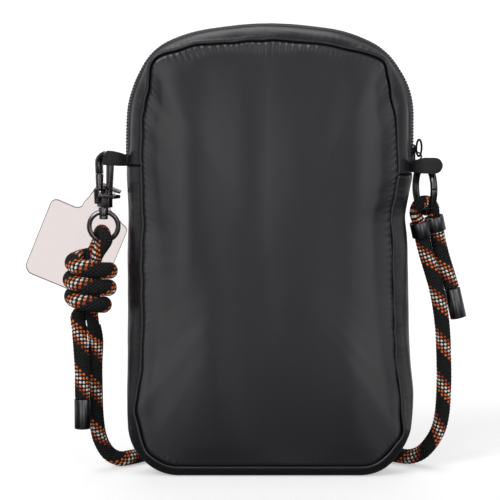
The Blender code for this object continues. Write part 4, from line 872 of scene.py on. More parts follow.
def band_mesh(name, plan, lows, highs, thick):
    """A tape on edge: its plan line, with a low and a high edge at each point and rounded borders."""
    plan = np.asarray(plan)[:, :2]
    run = np.gradient(plan, axis=0)
    run /= np.linalg.norm(run, axis=1)[:, None]
    side = np.column_stack([run[:, 1], -run[:, 0]])
    along = running_length(plan)
    half = thick / 2
    levels = np.linspace(0, 1, 7)
    least = 0.35  # share of the thickness at the tape's borders
    rows, uv = [], []
    for k, point in enumerate(plan):
        low, high = lows[k], highs[k]
        ring, marks = [], []
        for sign, steps in ((1, levels), (-1, levels[::-1])):
            for level in steps:
                edge = clamp(min(level, 1 - level) * (high - low) / half)
                bulge = half * max(least, math.sqrt(1 - (1 - edge) ** 2))
                height = low + (high - low) * level
                ring.append((*(point + side[k] * sign * bulge), height))
                marks.append((along[k], height))
        rows.append(ring)
        uv.append(marks + marks[:1])
    return lofted(name, rows, uv, smooth=60)


def smooth_route(points, spacing):
    """Points at an even spacing along a smooth curve through the route's own points."""
    points = [np.array(p, float) for p in points]
    ends = [2 * points[0] - points[1], *points, 2 * points[-1] - points[-2]]
    dense = []
    for a, b, c, d in zip(ends, ends[1:], ends[2:], ends[3:]):
        for step in range(24):
            t = step / 24
            bend = (2 * a - 5 * b + 4 * c - d) * t**2 + (3 * b - a - 3 * c + d) * t**3
            dense.append(0.5 * (2 * b + (c - a) * t + bend))
    dense.append(points[-1])
    return evenly(np.array(dense), spacing)


def evenly(dense, spacing):
    along = running_length(dense[:, :3])
    marks = np.linspace(0, along[-1], max(3, round(along[-1] / spacing) + 1))
    return np.column_stack([np.interp(marks, along, dense[:, k]) for k in range(dense.shape[1])])


FINE_STEP = 0.5 * MM  # spacing of points along a tape or a free rope


def left_loop_plan():
    """Out from the gusset, round the hook's spine and back, its rear layer pressed down by the crook."""
    out = LEFT - GAP - LOOP_TAPE / 2
    spine_x = HOOK_X + SPINE_OFF * math.cos(HOOK_TURN)
    spine_y = -SPINE_OFF * math.sin(HOOK_TURN)
    room = SPINE_R + 0.45 * MM + LOOP_TAPE / 2
    front, rear = spine_y - room, spine_y + room
    fold = spine_x - room - 0.1 * MM
    route = [
        (out + SEWN_IN, -0.5 * MM),
        (out, -2.5 * MM),
        (out - 2.6 * MM, front + 0.7 * MM),
        (out - 5.0 * MM, front),
        (spine_x, front),
        (fold + 0.5 * MM, front + 0.9 * MM),
        (fold, spine_y),
        (fold + 0.5 * MM, rear - 0.9 * MM),
        (spine_x, rear),
        (out - 4.0 * MM, rear),
        (out, 2.0 * MM),
        (out + SEWN_IN, 1.5 * MM),
    ]
    plan = smooth_route([(*p, 0) for p in route], FINE_STEP)
    low, top, pressed = 141.8 * MM, 148.4 * MM, 144.8 * MM
    lows, highs = [], []
    for k, point in enumerate(plan):
        near_body = clamp((out - point[0]) / (7 * MM))
        crest = top - 1.9 * MM * (1 - near_body) ** 2
        fall = clamp((k / (len(plan) - 1) - 0.41) / 0.07)
        highs.append(crest + (pressed - crest) * fall)
        lows.append(low - 0.6 * MM * (1 - near_body))
    return plan, lows, highs


def right_loop_plan():
    """Out from the gusset, round the gate ring's bar and back, with a rounded fold."""
    out = RIGHT + GAP + LOOP_TAPE / 2
    bar = SIDE_RING_Y - SIDE_RING_R * math.sin(SIDE_RING_TURN)
    front = bar - SIDE_WIRE_R - 0.5 * MM - LOOP_TAPE / 2
    rear = SIDE_RING_Y
    end = RIGHT + 12.7 * MM
    route = [
        (out - SEWN_IN, -1.5 * MM),
        (out, -4.0 * MM),
        (out + 0.9 * MM, front + 3.4 * MM),
        (out + 3.4 * MM, front + 0.6 * MM),
        (out + 7.0 * MM, front),
        (end - 1.6 * MM, front + 0.7 * MM),
        (end, front + 3.2 * MM),
        (end - 0.4 * MM, rear - 4.0 * MM),
        (end - 3.0 * MM, rear - 0.6 * MM),
        (out + 5.0 * MM, rear),
        (out, 2.0 * MM),
        (out - SEWN_IN, 1.5 * MM),
    ]
    plan = smooth_route([(*p, 0) for p in route], FINE_STEP)
    low, top, pressed = 138.4 * MM, 145.6 * MM, 140.5 * MM
    lows, highs = [], []
    for k, point in enumerate(plan):
        near_body = clamp((point[0] - out) / (4.5 * MM))
        crest = top - 2.2 * MM * (1 - near_body) ** 2
        fall = clamp((k / (len(plan) - 1) - 0.5) / 0.16)
        near_fold = clamp(1 - (end - point[0]) / (3.4 * MM))
        round_off = 3.0 * MM * (1 - math.sqrt(1 - near_fold**2))
        highs.append(crest + (pressed - crest) * fall - round_off * (1 - fall))
        lows.append(low + round_off * 0.8 * (1 - fall))
    return plan, lows, highs


def make_loops(tape):
    for word, plan in (("left", left_loop_plan()), ("right", right_loop_plan())):
        mesh = band_mesh(f"tape_loop_{word}", *plan, LOOP_TAPE)
        mesh_object(f"tape_loop_{word}", mesh, tape, "pouch", "loop_tape", f"{word}_loop")


# Hardware, refined from the construction solids

HARDWARE_SHARP = 35  # degrees past which an edge stays sharp
NECK_CUTS = 11
PLATE_EDGE = 20 * MM  # the film's longest edges are longer than this

# By slot: piece, node, body, and width of its bevelled edges in mm
HARDWARE = {
    "gunmetal": [
        ("snap_hook", "hook_body", "hook", 0.14),
        ("thumb_gate", "hook_gate", "hook_gate", 0.1),
        ("thumb_gate_pin", "gate_pin", "hook", 0.06),
        ("thumb_gate_spring", "gate_spring", "hook", 0),
        ("swivel_rivet", "swivel_post", "hook", 0.12),
        ("strap_ring", "swivel_ring", "swivel_ring", 0.1),
        ("gate_ring", "side_ring", "side_ring", 0.08),
        ("ring_gate", "side_gate", "side_gate", 0.08),
        ("ring_gate_pin", "side_gate_pin", "side_ring", 0.05),
    ],
    "zip_metal": [("slider", "zip_slider", "zip_slider", 0.08), ("pull_ring", "zip_puller", "zip_puller", 0)],
    "cap_metal": [
        ("ferrule", "strap_ferrule", "pouch", 0.25),
        ("cap_left", "end_cap_left", "pouch", 0.3),
        ("cap_right", "end_cap_right", "pouch", 0.3),
    ],
    "loop_tape": [("coil_strap", "coil_tie", "pouch", 0.15)],
}


def merged_copy(node, flat):
    """A copy of a construction solid, merged, without the edges that bend less than some degrees."""
    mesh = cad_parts[node].data.copy()
    bm = bmesh.new()
    bm.from_mesh(mesh)
    bmesh.ops.remove_doubles(bm, verts=bm.verts, dist=0.002 * MM)
    bmesh.ops.dissolve_limit(bm, angle_limit=math.radians(flat), verts=bm.verts, edges=bm.edges)
    return mesh, bm


def refined(name, node, body, mat, slot, bevel):
    """A merged, bevelled and smoothed copy of a construction solid."""
    mesh, bm = merged_copy(node, 1.5)
    bm.to_mesh(mesh)
    bm.free()
    obj = linked("work_piece", smoothed(mesh))
    if bevel:
        modifier = obj.modifiers.new("edges", "BEVEL")
        modifier.width, modifier.segments = bevel, 2
        modifier.limit_method, modifier.angle_limit = "ANGLE", math.radians(HARDWARE_SHARP)
        modifier.use_clamp_overlap = True
    made = evaluated_mesh(obj)
    made.name = name
    return mesh_object(name, smoothed(made, HARDWARE_SHARP), mat, body, slot, node)


def reshape_tab(bm):
    """Draws the film's plate out along and across itself, and bends its neck aside."""
    long_edges = [e for e in bm.edges if abs(e.verts[0].co.z - e.verts[1].co.z) > PLATE_EDGE]
    ends = sorted(long_edges[0].verts, key=lambda vert: -vert.co.z)
    down = (ends[1].co - ends[0].co).normalized()
    top = ends[0].co - down * TAB_CORNER_R
    across = (ends[0].co - ends[1].co).cross(Vector((0, 1, 0))).normalized()
    middle = sum((vert.co for vert in bm.verts), Vector()) / len(bm.verts)
    for k in range(NECK_CUTS):
        place = top - down * TAB_NECK_LENGTH * (k + 1) / NECK_CUTS
        bmesh.ops.bisect_plane(bm, geom=[*bm.verts, *bm.edges, *bm.faces], plane_co=place, plane_no=down)
    for vert in bm.verts:
        past = (vert.co - top).dot(down)
        off = (vert.co - middle).dot(across)
        if past > -0.3 * MM:
            vert.co += down * (TAB_DROP + past * TAB_STRETCH) + across * off * TAB_SPREAD
        elif past > -TAB_NECK_LENGTH:
            share = -past / TAB_NECK_LENGTH
            swell = TAB_NECK_SWELL * math.sqrt(math.sin(math.pi * share))
            vert.co += down * TAB_DROP * (1 - share) + across * swell
    bm.normal_update()


def make_film_tab(mat):
    """The film, a little longer than its solid, with a painted dark rim: painted shade where light leaves its
    edge.
    """
    mesh, bm = merged_copy("tether_tab", 1.0)
    reshape_tab(bm)
    tree = BVHTree.FromBMesh(bm)
    flat = []
    for face in bm.faces:
        start = face.calc_center_median() - face.normal * 0.01 * MM
        if tree.ray_cast(start, -face.normal, 1.2 * MM)[0]:
            flat.append(face)
    bmesh.ops.inset_region(bm, faces=flat, thickness=TAB_RIM, use_even_offset=True)
    # the inset rim and the film's sides are marked for the painted shade of its dark edge
    inner = set(flat)
    marks = [0.0 if face in inner else 1.0 for face in bm.faces]
    bm.to_mesh(mesh)
    bm.free()
    # the edge attribute is 1 on faces that take the painted dark edge, 0 on the clear film
    layer = mesh.attributes.new("edge", "FLOAT", "FACE")
    layer.data.foreach_set("value", marks)
    mesh.name = "film_tab"
    mesh_object("film_tab", smoothed(mesh, 30), mat, "tether_tab", "film", "tether_tab")


def thickened_ring(mesh):
    """Draws the gate ring's wire out from its own centre line."""
    level = Vector((math.cos(SIDE_RING_TURN), -math.sin(SIDE_RING_TURN), 0))
    centre = Vector((SIDE_RING_X, SIDE_RING_Y, SIDE_RING_Z))
    for vert in mesh.vertices:
        off = vert.co - centre
        flat = Vector((off.dot(level), off.z)).normalized() * SIDE_RING_R
        line = centre + level * flat.x + Vector((0, 0, flat.y))
        vert.co = line + (vert.co - line) * SIDE_RING_GAIN


def thickened_stem(mesh, low):
    """Draws the gate's bar and the crook's end out from their upright line, above a height."""
    turn = Matrix.Rotation(-HOOK_TURN, 4, "Z")
    for vert in mesh.vertices:
        place = turn.inverted() @ (vert.co - Vector((HOOK_X, 0, 0)))
        above = clamp((place.z - low) / (1.5 * MM))
        gate_side = clamp((0.4 * MM - place.x) / (1.0 * MM))
        wide = 1 + (GATE_GAIN - 1) * above * gate_side
        place.x = -GATE_OFF + (place.x + GATE_OFF) * wide
        place.y *= wide
        vert.co = turn @ place + Vector((HOOK_X, 0, 0))


def narrowed(mesh, top, share):
    """Draws a mesh in towards the hook's own axis below a height."""
    for vert in mesh.vertices:
        if vert.co.z < top:
            vert.co.x = HOOK_X + (vert.co.x - HOOK_X) * share


def nose_pin(mesh):
    """Adds the pin on the gate's nose that rests in the hook's end."""
    nose = max(mesh.vertices, key=lambda vert: vert.co.z).co.z
    near = [vert.co for vert in mesh.vertices if vert.co.z > nose - 0.3 * MM]
    middle = sum(near, Vector()) / len(near)
    line = [middle - Vector((0, 0, 1.0 * MM)), middle + Vector((0, 0, 0.9 * MM))]
    pin = tube_mesh("nose_pin", np.array([line[0], (line[0] + line[1]) / 2, line[1]]), [NOSE_PIN_R] * 3, 20)
    return joined(mesh.name, [mesh, pin])


def make_hardware(finishes):
    """All metal pieces and the coil's tie, with the finish of each slot."""
    made = {}
    for slot, pieces in HARDWARE.items():
        for name, node, body, bevel in pieces:
            made[name] = refined(name, node, body, finishes[slot], slot, bevel * MM)
    for name in ("gate_ring", "ring_gate", "ring_gate_pin"):
        thickened_ring(made[name].data)
    gate = made["thumb_gate"]
    thickened_stem(made["snap_hook"].data, HOOK_BASE_TOP + 6 * MM)
    thickened_stem(gate.data, HOOK_BASE_TOP + 0.5 * MM)
    narrowed(made["snap_hook"].data, HOOK_BASE_TOP, HOOK_BASE_SHARE)
    mesh = nose_pin(gate.data)
    mesh.materials.append(finishes["gunmetal"])
    gate.data = smoothed(mesh, HARDWARE_SHARP)
    return made


# Rope strap

KNOT_WIDE_R, KNOT_DEEP_R = 8.2 * MM, 9.8 * MM
KNOT_TURNS = 3
KNOT_ROPE_R = 3.8 * MM  # the rope is bent tightly there and spreads
KNOT_WRAP = 56.5 * MM
KNOT_TWIST = -120  # degrees that the rope turns about itself over each wrap
KNOT_PITCH = 7.8 * MM
KNOT_TOP_Z = 95.3 * MM
KNOT_X = LEFT - 17.1 * MM
KNOT_AXIS_Y = -1.5 * MM
KNOT_MEET_Z = 86.6 * MM
KNOT_FOOT_Z = 70 * MM
CORE_X = KNOT_X + 1.2 * MM  # where the loop's legs and the left run pass through the knot
HALF_CORE = ROPE_TIGHT_R + 0.15 * MM
SQUEEZED_TO_Z = 67 * MM  # the left run is thin above this height, inside the knot
CAP_DEPTH = 9.0 * MM
CAP_ROPE_R = 2.8 * MM
LEFT_CAP_TOP = 34.4 * MM
RIGHT_CAP_TOP = 84.2 * MM
FERRULE_LENGTH = 6.7 * MM
FERRULE_SPACING = 7.9 * MM
FERRULE_TILT = math.radians(14.6)
FERRULE_TURN = math.radians(28)
FERRULE_DROP = 3.5 * MM
COIL_TURNS = 3.5
COIL_PITCH = 7.5 * MM
COIL_OUTER_R = 48.0 * MM
COIL_CENTRE_Y = 71.0 * MM
COIL_LOW_Z = 0.8 * MM + GAP + ROPE_R
STRAP_TWIST = (150.0, 175.0)  # degrees that the free rope is turned about itself, at its two ends
STRAP_PARTS = 4
RING_LOOP_PHASE = -40  # degrees that its colours start round the rope
GATE_LOOP_PHASE = 265
GATE_LOOP_UNTWIST = 0.8
RING_LOOP_SKEW = math.radians(-22)  # lean of the loop through the swivel ring
TAIL_FALL = math.radians(13)  # lean of the right tail
LEAST_STRETCH, LEAST_SIZE = 0.4, 0.3  # of a yarn at the inside of a bend
YARNS = (1, 1, 2, 2, 1, 3, 0, 0, 0, 0, 0, 0)  # colour of each of the twelve leaning yarns: see the ramp


def from_place(x, y, rows):
    """Points from rows in mm, whose x and y start from a place."""
    return [(x + east * MM, y + north * MM, up * MM) for east, north, up in rows]


def knot_point(turn):
    """A point of the wraps, which drift aside and change in width as they do in the photo."""
    angle = 2 * math.pi * turn
    drift = (-1.2 + 0.9 * turn - 0.12 * turn * turn) * MM
    wide = KNOT_WIDE_R + (0.5 - 0.28 * (turn - 1.6) ** 2 - 1.5 * max(0.0, turn - 2)) * MM
    x = KNOT_X - drift + wide * math.cos(angle)
    y = KNOT_AXIS_Y + KNOT_DEEP_R * math.sin(angle)
    return (x, y, KNOT_TOP_Z - KNOT_PITCH * (turn - 0.75))


def knot_and_tail_route():
    """The wraps and then the tail, down into the left cap, as one line."""
    start, end = 0.25, KNOT_TURNS + 0.2
    steps = round((end - start) * 40)
    wraps = [knot_point(start + (end - start) * k / steps) for k in range(steps + 1)]
    hang = [(-1.6, 7.6, 71.5), (-1.4, 5.0, 65.0), (-0.6, 2.4, 56.0), (0, 1.0, 46.0), (0, 0.6, 40.0)]
    hang = from_place(LEFT - 20.9 * MM, KNOT_AXIS_Y, hang)
    last = (*hang[-1][:2], LEFT_CAP_TOP - CAP_DEPTH + GAP)
    tail = smooth_route([wraps[-3], *wraps[-1:], *hang, last], FINE_STEP)
    return np.vstack([wraps, tail[4:]])


def left_loop_route():
    """Up through the knot, over the swivel ring's lower wire and down into the knot again."""
    wire_z = RING_CENTRE_Z - (RING_OUTER_R - RING_WIRE_R)
    bend = RING_WIRE_R + 0.5 * MM + ROPE_TIGHT_R
    over_x = HOOK_X - 0.7 * MM
    legs = []
    for side in (1, -1):
        y = KNOT_AXIS_Y + side * HALF_CORE
        legs.append(
            [
                (CORE_X, y, KNOT_MEET_Z),
                (CORE_X, y, KNOT_MEET_Z + 5 * MM),
                (CORE_X + 0.2 * MM - side * 0.8 * MM, y, KNOT_MEET_Z + 10 * MM),
                (CORE_X + 1.6 * MM - side * 1.2 * MM, y + side * 0.5 * MM, 101.5 * MM),
            ]
        )
    points = legs[0]
    for k in range(9):
        angle = math.pi * k / 8
        y = bend * math.cos(angle)
        points.append((over_x + y * math.tan(RING_LOOP_SKEW), y, wire_z + bend * math.sin(angle)))
    return points + legs[1][::-1]


def left_run_route():
    """Out of the knot, down beside the pouch and in behind it."""
    rows = [
        (-0.5, -0.5, 79.0),
        (-0.5, -0.6, 74.0),
        (0, 0.3, 68.0),
        (1.0, 3.6, 60.0),
        (0.5, 4.3, 48.0),
        (0.6, 4.3, 36.0),
        (0.9, 5.2, 24.5),
        (2.3, 6.4, 14.6),
        (5.9, 8.2, 7.2),
        (10.9, 10.6, 3.8),
        (16.0, 14.6, 3.5),
        (22.4, 23.6, 3.5),
        (29.6, 43.0, 3.5),
    ]
    start_y = KNOT_AXIS_Y + HALF_CORE
    return [(CORE_X, start_y, KNOT_MEET_Z - GAP), *from_place(CORE_X, start_y, rows)]


def coil_point(turn):
    """Clockwise from above, from its left: in on the floor, up at the middle, out on top."""
    middle = COIL_TURNS / 2
    away = abs(turn - middle)
    if away >= 0.25:
        radius = COIL_OUTER_R - COIL_PITCH * (middle - away)
    else:
        dip = COIL_PITCH / 8 * (1 - (away / 0.25) ** 2)
        radius = COIL_OUTER_R - COIL_PITCH * (middle - 0.25) - dip
    climb = clamp((turn - middle + 0.25) / 0.5)
    angle = math.pi - 2 * math.pi * turn
    x, y = radius * math.cos(angle), COIL_CENTRE_Y + radius * math.sin(angle)
    return (x, y, COIL_LOW_Z + COIL_PITCH * climb)


def coil_route():
    """The coil, with a short straight lead at each of its ends."""
    steps = round(COIL_TURNS * 96)
    points = [coil_point(COIL_TURNS * k / steps) for k in range(steps + 1)]
    first, last = ((x, y - 2 * ROPE_R, z) for x, y, z in (points[0], points[-1]))
    return [first, *points, last]


def ferrule_frame():
    wire_z = SIDE_RING_Z - SIDE_RING_R
    turn = Matrix.Rotation(FERRULE_TURN, 4, "Z") @ Matrix.Rotation(-FERRULE_TILT, 4, "Y")
    return Matrix.Translation((SIDE_RING_X, SIDE_RING_Y, wire_z)) @ turn


def below_ferrule(sign, depth):
    low = -FERRULE_DROP - FERRULE_LENGTH / 2 - GAP / 2 - depth
    return tuple(ferrule_frame() @ Vector((sign * FERRULE_SPACING / 2, 0, low)))


def right_loop_route():
    """Over the gate ring's lower wire, both legs down into the ferrule."""
    bend = SIDE_WIRE_R + 0.45 * MM + ROPE_TIGHT_R
    half = FERRULE_SPACING / 2
    meet = -FERRULE_DROP - FERRULE_LENGTH / 2 + GAP / 2
    local = [(-half, 0, meet), (-half - 0.15 * MM, 0, -FERRULE_DROP)]
    for k in range(9):
        angle = math.pi * (1 - k / 8)
        local.append((bend * math.cos(angle), 0, bend * math.sin(angle)))
    local += [(half + 0.15 * MM, 0, -FERRULE_DROP), (half, 0, meet)]
    return [tuple(ferrule_frame() @ Vector(p)) for p in local]


def right_tail_route():
    """Out of the ferrule and down into the right cap."""
    middle = Vector(below_ferrule(1, 14 * MM))
    top = Vector((RIGHT + 18.9 * MM, middle.y - 0.4 * MM, RIGHT_CAP_TOP))
    fall = Vector((math.sin(TAIL_FALL), 0, -math.cos(TAIL_FALL)))
    end = top + fall * (CAP_DEPTH - GAP)
    return [below_ferrule(1, 0), tuple(middle), tuple(top - fall * 0.4 * MM), tuple(end)]


def right_run_route():
    """Out of the ferrule, down beside the pouch and in behind it."""
    rows = [
        (11.7, 3.0, 84.0),
        (14.4, 4.6, 68.0),
        (15.4, 6.4, 53.0),
        (15.7, 8.3, 38.0),
        (15.0, 10.2, 24.5),
        (12.6, 12.0, 15.2),
        (7.2, 14.2, 7.2),
        (1.6, 16.6, 3.9),
        (-4.0, 20.4, 3.5),
        (-9.6, 26.4, 3.7),
        (-14.8, 36.0, 5.2),
        (-17.2, 49.0, 9.0),
    ]
    return [below_ferrule(-1, 0), below_ferrule(-1, 10 * MM), *from_place(RIGHT, 0, rows)]


def whole_strap_route():
    """The free rope from the knot to the ferrule: left run, coil and right run."""
    coil = np.array(coil_route())
    lead = np.array((0, 2 * ROPE_R, 0))
    left = smooth_route([*left_run_route(), coil[0] - lead, coil[0]], FINE_STEP)
    right = smooth_route([*right_run_route(), coil[-1] - np.array((0, 5, 0.2)) * MM, coil[-1]], FINE_STEP)
    return evenly(np.vstack([left[:-1], coil, right[::-1][1:]]), PICK_ROW / 2)


def carried_frames(points):
    """Tangents, and two directions across that turn as little as they can along the line."""
    points = np.asarray(points)
    run = np.gradient(points, axis=0)
    run /= np.linalg.norm(run, axis=1)[:, None]
    first = np.cross(run[0], (0.0, 0.0, 1.0))
    if np.linalg.norm(first) < 0.1:
        first = np.cross(run[0], (0.0, 1.0, 0.0))
    across = [first / np.linalg.norm(first)]
    for before, here in zip(run, run[1:]):
        axis = np.cross(before, here)
        turned = across[-1]
        size = np.linalg.norm(axis)
        if size > 1e-9:
            turn = Matrix.Rotation(math.asin(min(1.0, size)), 3, Vector(axis / size))
            turned = np.array(turn @ Vector(turned))
        turned = turned - here * turned.dot(here)
        across.append(turned / np.linalg.norm(turned))
    across = np.array(across)
    return run, across, np.cross(run, across)


def tube_mesh(name, points, radii, sides):
    run, across, over = carried_frames(points)
    angles = 2 * math.pi * np.arange(sides) / sides
    rows, uv = [], []
    for point, mark, radius, wide, deep in zip(points, running_length(points), radii, across, over):
        rows.append(point + radius * (np.outer(np.cos(angles), wide) + np.outer(np.sin(angles), deep)))
        uv.append([(mark, radius * 2 * math.pi * j / sides) for j in range(sides + 1)])
    return lofted(name, rows, uv, smooth=60)


def braid_mesh(name, tree, points, radii, mat, first_row, twist, frames=None):
    """Crossing yarns: on even rings the leaning yarns lie on top, on odd rings the black ones."""
    run, across, over = frames or carried_frames(points)
    bend = np.gradient(run, axis=0) / (PICK_ROW / 2)
    places, outs, alongs, sizes, yarns = [], [], [], [], []
    for k in range(1, len(points) - 1):
        ring = k + first_row
        for spoke in range(ring % 2, CARRIERS, 2):
            angle = 2 * math.pi * spoke / CARRIERS + twist[k]
            out = across[k] * math.cos(angle) + over[k] * math.sin(angle)
            around = np.cross(run[k], out)
            stretch = 1 - radii[k] * float(bend[k].dot(out))
            leaning = ring % 2 == 0
            lean = 1 if leaning else -1
            strand = run[k] * max(LEAST_STRETCH, stretch) - lean * around * (radii[k] / ROPE_R)
            size = np.array(PICK_SIZE)
            size[:2] *= math.sqrt((max(LEAST_SIZE, stretch) ** 2 + (radii[k] / ROPE_R) ** 2) / 2)
            places.append(points[k] + out * (radii[k] - PICK_SINK))
            outs.append(out)
            alongs.append(strand / np.linalg.norm(strand))
            sizes.append(size)
            yarns.append(YARNS[(ring // 2 + spoke // 2) % len(YARNS)] / 4 if leaning else 0.0)
    return set_out(name, tree, places, outs, alongs, sizes, mat, 1, yarns)


def rope_piece(name, tree, points, radii, mat, nodes, phase, untwist=0.0):
    """A short rope by itself. untwist takes out a share of the colours' turning round the rope."""
    lead = 2 * math.pi / (CARRIERS // 2 * PICK_ROW)
    twist = phase - untwist * lead * PICK_ROW / 2 * np.arange(len(points))
    core = tube_mesh("rope_core", points, radii - CORE_SINK, 12)
    picks = braid_mesh("rope_picks", tree, points, radii, mat, 0, twist)
    return mesh_object(name, joined(name, [core, picks]), mat, "pouch", "rope_braid", *nodes)


def make_rope(tree, mat, hardware):
    """The whole strap: its free rope with the coil, then the knot, both loops and both tails."""
    line = whole_strap_route()
    squeezed = (line[:, 2] > SQUEEZED_TO_Z) & (np.arange(len(line)) <= len(line) / 2)
    radii = np.where(squeezed, ROPE_TIGHT_R, ROPE_R)
    core = tube_mesh("strap_core", line[::2], radii[::2] - CORE_SINK, 12)
    nodes = ["rope_run_left", "rope_coil", "rope_run_right"]
    strap = mesh_object("strap_core", core, mat, "pouch", "rope_braid", *nodes)
    parts = []
    cuts = np.linspace(0, len(line) - 1, STRAP_PARTS + 1).astype(int)
    frames = carried_frames(line)
    twist = np.radians(np.linspace(*STRAP_TWIST, len(line)))
    for k in range(STRAP_PARTS):
        name = f"strap_braid_{k + 1}"
        part = slice(cuts[k], min(len(line), cuts[k + 1] + 2))
        held = tuple(way[part] for way in frames)
        picks = braid_mesh(name, tree, line[part], radii[part], mat, part.start, twist[part], held)
        parts.append(mesh_object(name, picks, mat, "pouch", "rope_braid"))
    step = PICK_ROW / 2
    knot = evenly(knot_and_tail_route(), step)
    free = np.where(knot[:, 2] > KNOT_FOOT_Z, KNOT_ROPE_R, ROPE_R)
    knot_radii = np.where(knot[:, 2] < LEFT_CAP_TOP, CAP_ROPE_R, free)
    twist = math.radians(KNOT_TWIST) * np.minimum(np.arange(len(knot)) * step / KNOT_WRAP, KNOT_TURNS)
    nodes = ["strap_knot", "rope_tail_left"]
    parts.append(rope_piece("knot_and_tail", tree, knot, knot_radii, mat, nodes, twist))
    for name, route, node, phase, untwist in (
        ("ring_loop", left_loop_route(), "rope_loop_left", RING_LOOP_PHASE, 0.0),
        ("gate_loop", right_loop_route(), "rope_loop_right", GATE_LOOP_PHASE, GATE_LOOP_UNTWIST),
    ):
        loop = smooth_route(route, step)
        thin = np.full(len(loop), ROPE_TIGHT_R)
        parts.append(rope_piece(name, tree, loop, thin, mat, [node], math.radians(phase), untwist))
    tail = smooth_route(right_tail_route(), step)
    tail_radii = np.where(tail[:, 2] < RIGHT_CAP_TOP, CAP_ROPE_R, ROPE_R)
    parts.append(rope_piece("tail_right", tree, tail, tail_radii, mat, ["rope_tail_right"], 0.0))
    parts += [hardware[name] for name in ("ferrule", "cap_left", "cap_right", "coil_strap")]


# Stage


def aimed(name, data, toward):
    """Puts a camera or a lamp in the scene, turned to look along a direction."""
    obj = linked(name, data)
    obj.rotation_mode = "QUATERNION"
    obj.rotation_quaternion = Vector(toward).to_track_quat("-Z", "Y")
    return obj


def make_camera():
    data = bpy.data.cameras.new("camera")
    data.lens, data.sensor_width = LENS, SENSOR
    data.clip_end = 50
    back = Vector((0, -math.cos(CAMERA_RISE), math.sin(CAMERA_RISE)))
    camera = aimed("camera", data, -back)
    camera.location = PICTURE_MIDDLE + back * SPAN * LENS / SENSOR
    bpy.context.scene.camera = camera


def make_sun(name, energy, angle, toward):
    data = bpy.data.lights.new(name, "SUN")
    data.energy, data.angle = energy, math.radians(angle)
    aimed(name, data, toward)


def any_of(tree, *rays):
    """1 for rays of those kinds."""
    path = add(tree, "ShaderNodeLightPath")
    total = path.outputs[f"Is {rays[0]} Ray"]
    for kind in rays[1:]:
        total = math_node(tree, "MAXIMUM", total, path.outputs[f"Is {kind} Ray"])
    return total


# What gloss reflects of the studio: degrees round from the camera to its right, and strength
STUDIO_RING = [
    (-180, 0.2),
    (-110, 0.2),
    (-75, 0.05),
    (-32, 0.03),
    (-18, 1.0),
    (-7, 0.02),
    (7, 0.02),
    (18, 0.95),
    (32, 0.03),
    (75, 0.05),
    (110, 0.2),
    (180, 0.2),
]
STUDIO_LIGHT = 4.0

# And by height, as the upward part of the direction, and strength
STUDIO_RISE = [
    (-0.5, 0.05),
    (-0.28, 0.15),
    (-0.14, 0.8),
    (0.0, 0.8),
    (0.16, 0.45),
    (0.5, 0.35),
]


WORLD_LIGHT = 0.4
FLOOR_COLOUR = (0.9, 0.9, 0.9, 1)
FLOOR_GLOW = 0.42  # added where the floor is seen, so that it looks nearly white
FLOOR_HALF = 12.0

# By name: energy, width of the sun in degrees, and direction of its light
SUNS = {
    "key": (1.1, 30, (0.6, 0.75, -0.7)),
    "fill": (0.6, 40, (-0.85, 0.6, -0.4)),
    "rim": (0.4, 40, (0.1, -0.7, -0.9)),
}


def strength_ramp(tree, value, places):
    return ramp_node(tree, value, [(place, (strength,) * 3 + (1,)) for place, strength in places])


def soft_boxes(tree):
    """Strength of the studio by direction, for gloss alone: two upright bands, level with the pouch."""
    way = add(tree, "ShaderNodeSeparateXYZ", {0: add(tree, "ShaderNodeTexCoord").outputs["Generated"]})
    ahead = math_node(tree, "MULTIPLY", way.outputs["Y"], -1.0)
    share = scaled(tree, math_node(tree, "ARCTAN2", way.outputs["X"], ahead), 0.5 / math.pi, 0.5)
    ring = strength_ramp(tree, share, [(degrees / 360 + 0.5, strength) for degrees, strength in STUDIO_RING])
    level = scaled(tree, way.outputs["Z"], 0.5, 0.5)
    rise = strength_ramp(tree, level, [(height / 2 + 0.5, strength) for height, strength in STUDIO_RISE])
    return math_node(tree, "MULTIPLY", math_node(tree, "MULTIPLY", ring, rise), STUDIO_LIGHT)


def make_world():
    """White where it is seen, soft boxes in gloss, and an even light on the rest."""
    world = bpy.data.worlds.new("studio")
    world.use_nodes = True
    bpy.context.scene.world = world
    tree = world.node_tree
    tree.nodes.clear()
    ambient, white, boxes = (
        add(tree, "ShaderNodeBackground", {"Color": (1, 1, 1, 1), "Strength": strength}).outputs[0]
        for strength in (WORLD_LIGHT, 1.0, soft_boxes(tree))
    )
    lit = add(tree, "ShaderNodeMixShader", {0: any_of(tree, "Camera", "Transmission"), 1: ambient, 2: white})
    mixed = add(tree, "ShaderNodeMixShader", {0: any_of(tree, "Glossy"), 1: lit.outputs[0], 2: boxes})
    add(tree, "ShaderNodeOutputWorld", {0: mixed.outputs[0]})


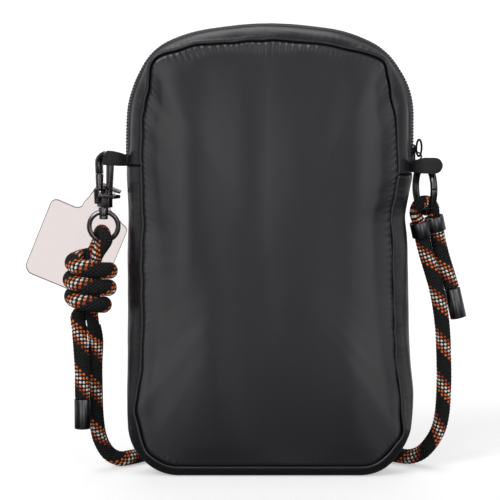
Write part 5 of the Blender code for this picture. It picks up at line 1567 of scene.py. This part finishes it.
def make_floor():
    """A plain pale floor, lifted to near white for the camera, gloss and film alone."""
    mesh = bpy.data.meshes.new("floor")
    corners = [(x * FLOOR_HALF, y * FLOOR_HALF, 0) for x, y in ((-1, -1), (1, -1), (1, 1), (-1, 1))]
    mesh.from_pydata(corners, [], [(0, 1, 2, 3)])
    floor = linked("floor", mesh)
    made, tree, shader = new_material("pale_floor", 0.9, Base_Color=FLOOR_COLOUR)
    glow = add(tree, "ShaderNodeEmission", {"Strength": FLOOR_GLOW})
    nothing = add(tree, "ShaderNodeEmission", {"Strength": 0.0})
    seen = any_of(tree, "Camera", "Glossy", "Transmission")
    lift = add(tree, "ShaderNodeMixShader", {0: seen, 1: nothing.outputs[0], 2: glow.outputs[0]})
    total = add(tree, "ShaderNodeAddShader", {0: shader.outputs[0], 1: lift.outputs[0]})
    tree.links.new(total.outputs[0], tree.nodes["Material Output"].inputs[0])
    mesh.materials.append(made)
    floor.visible_glossy = False


def main():
    make_camera()
    tree = set_out_tree()
    nylon = cloth_material("dark_nylon", linear(26, 26, 31), 0.3, 0.42 * MM, 0.3, 0.08, 16.0, 0.7)
    lining = cloth_material("lining_cloth", linear(44, 44, 48), 0.7, 0.3 * MM)
    zip_tape = cloth_material("zip_tape", linear(26, 26, 28), 0.8, 0.6 * MM, 0.6)
    webbing = cloth_material("loop_webbing", linear(36, 36, 38), 0.8, 0.9 * MM, 0.7)
    coil = metal_material("zip_coil", linear(58, 58, 62), 0.25, 0.2, 0.0)
    finishes = {
        "gunmetal": metal_material("gunmetal", linear(118, 115, 117), 0.27, 0.15),
        "zip_metal": metal_material("zip_metal", linear(48, 48, 50), 0.3, 0.15),
        "cap_metal": metal_material("cap_metal", linear(96, 96, 99), 0.3, 0.15),
        "loop_tape": webbing,
    }
    hardware = make_hardware(finishes)
    make_film_tab(film_material())
    make_rope(tree, rope_material(), hardware)
    outline = Outline()
    right, left = make_cloth(outline, nylon)
    make_linings(outline, lining, right, left)
    make_pocket(lining)
    make_zip(outline, tree, zip_tape, coil, right, left)
    make_loops(webbing)
    make_world()
    for name, sun in SUNS.items():
        make_sun(name, *sun)
    make_floor()
    bpy.context.scene.view_settings.view_transform = "Standard"


main()
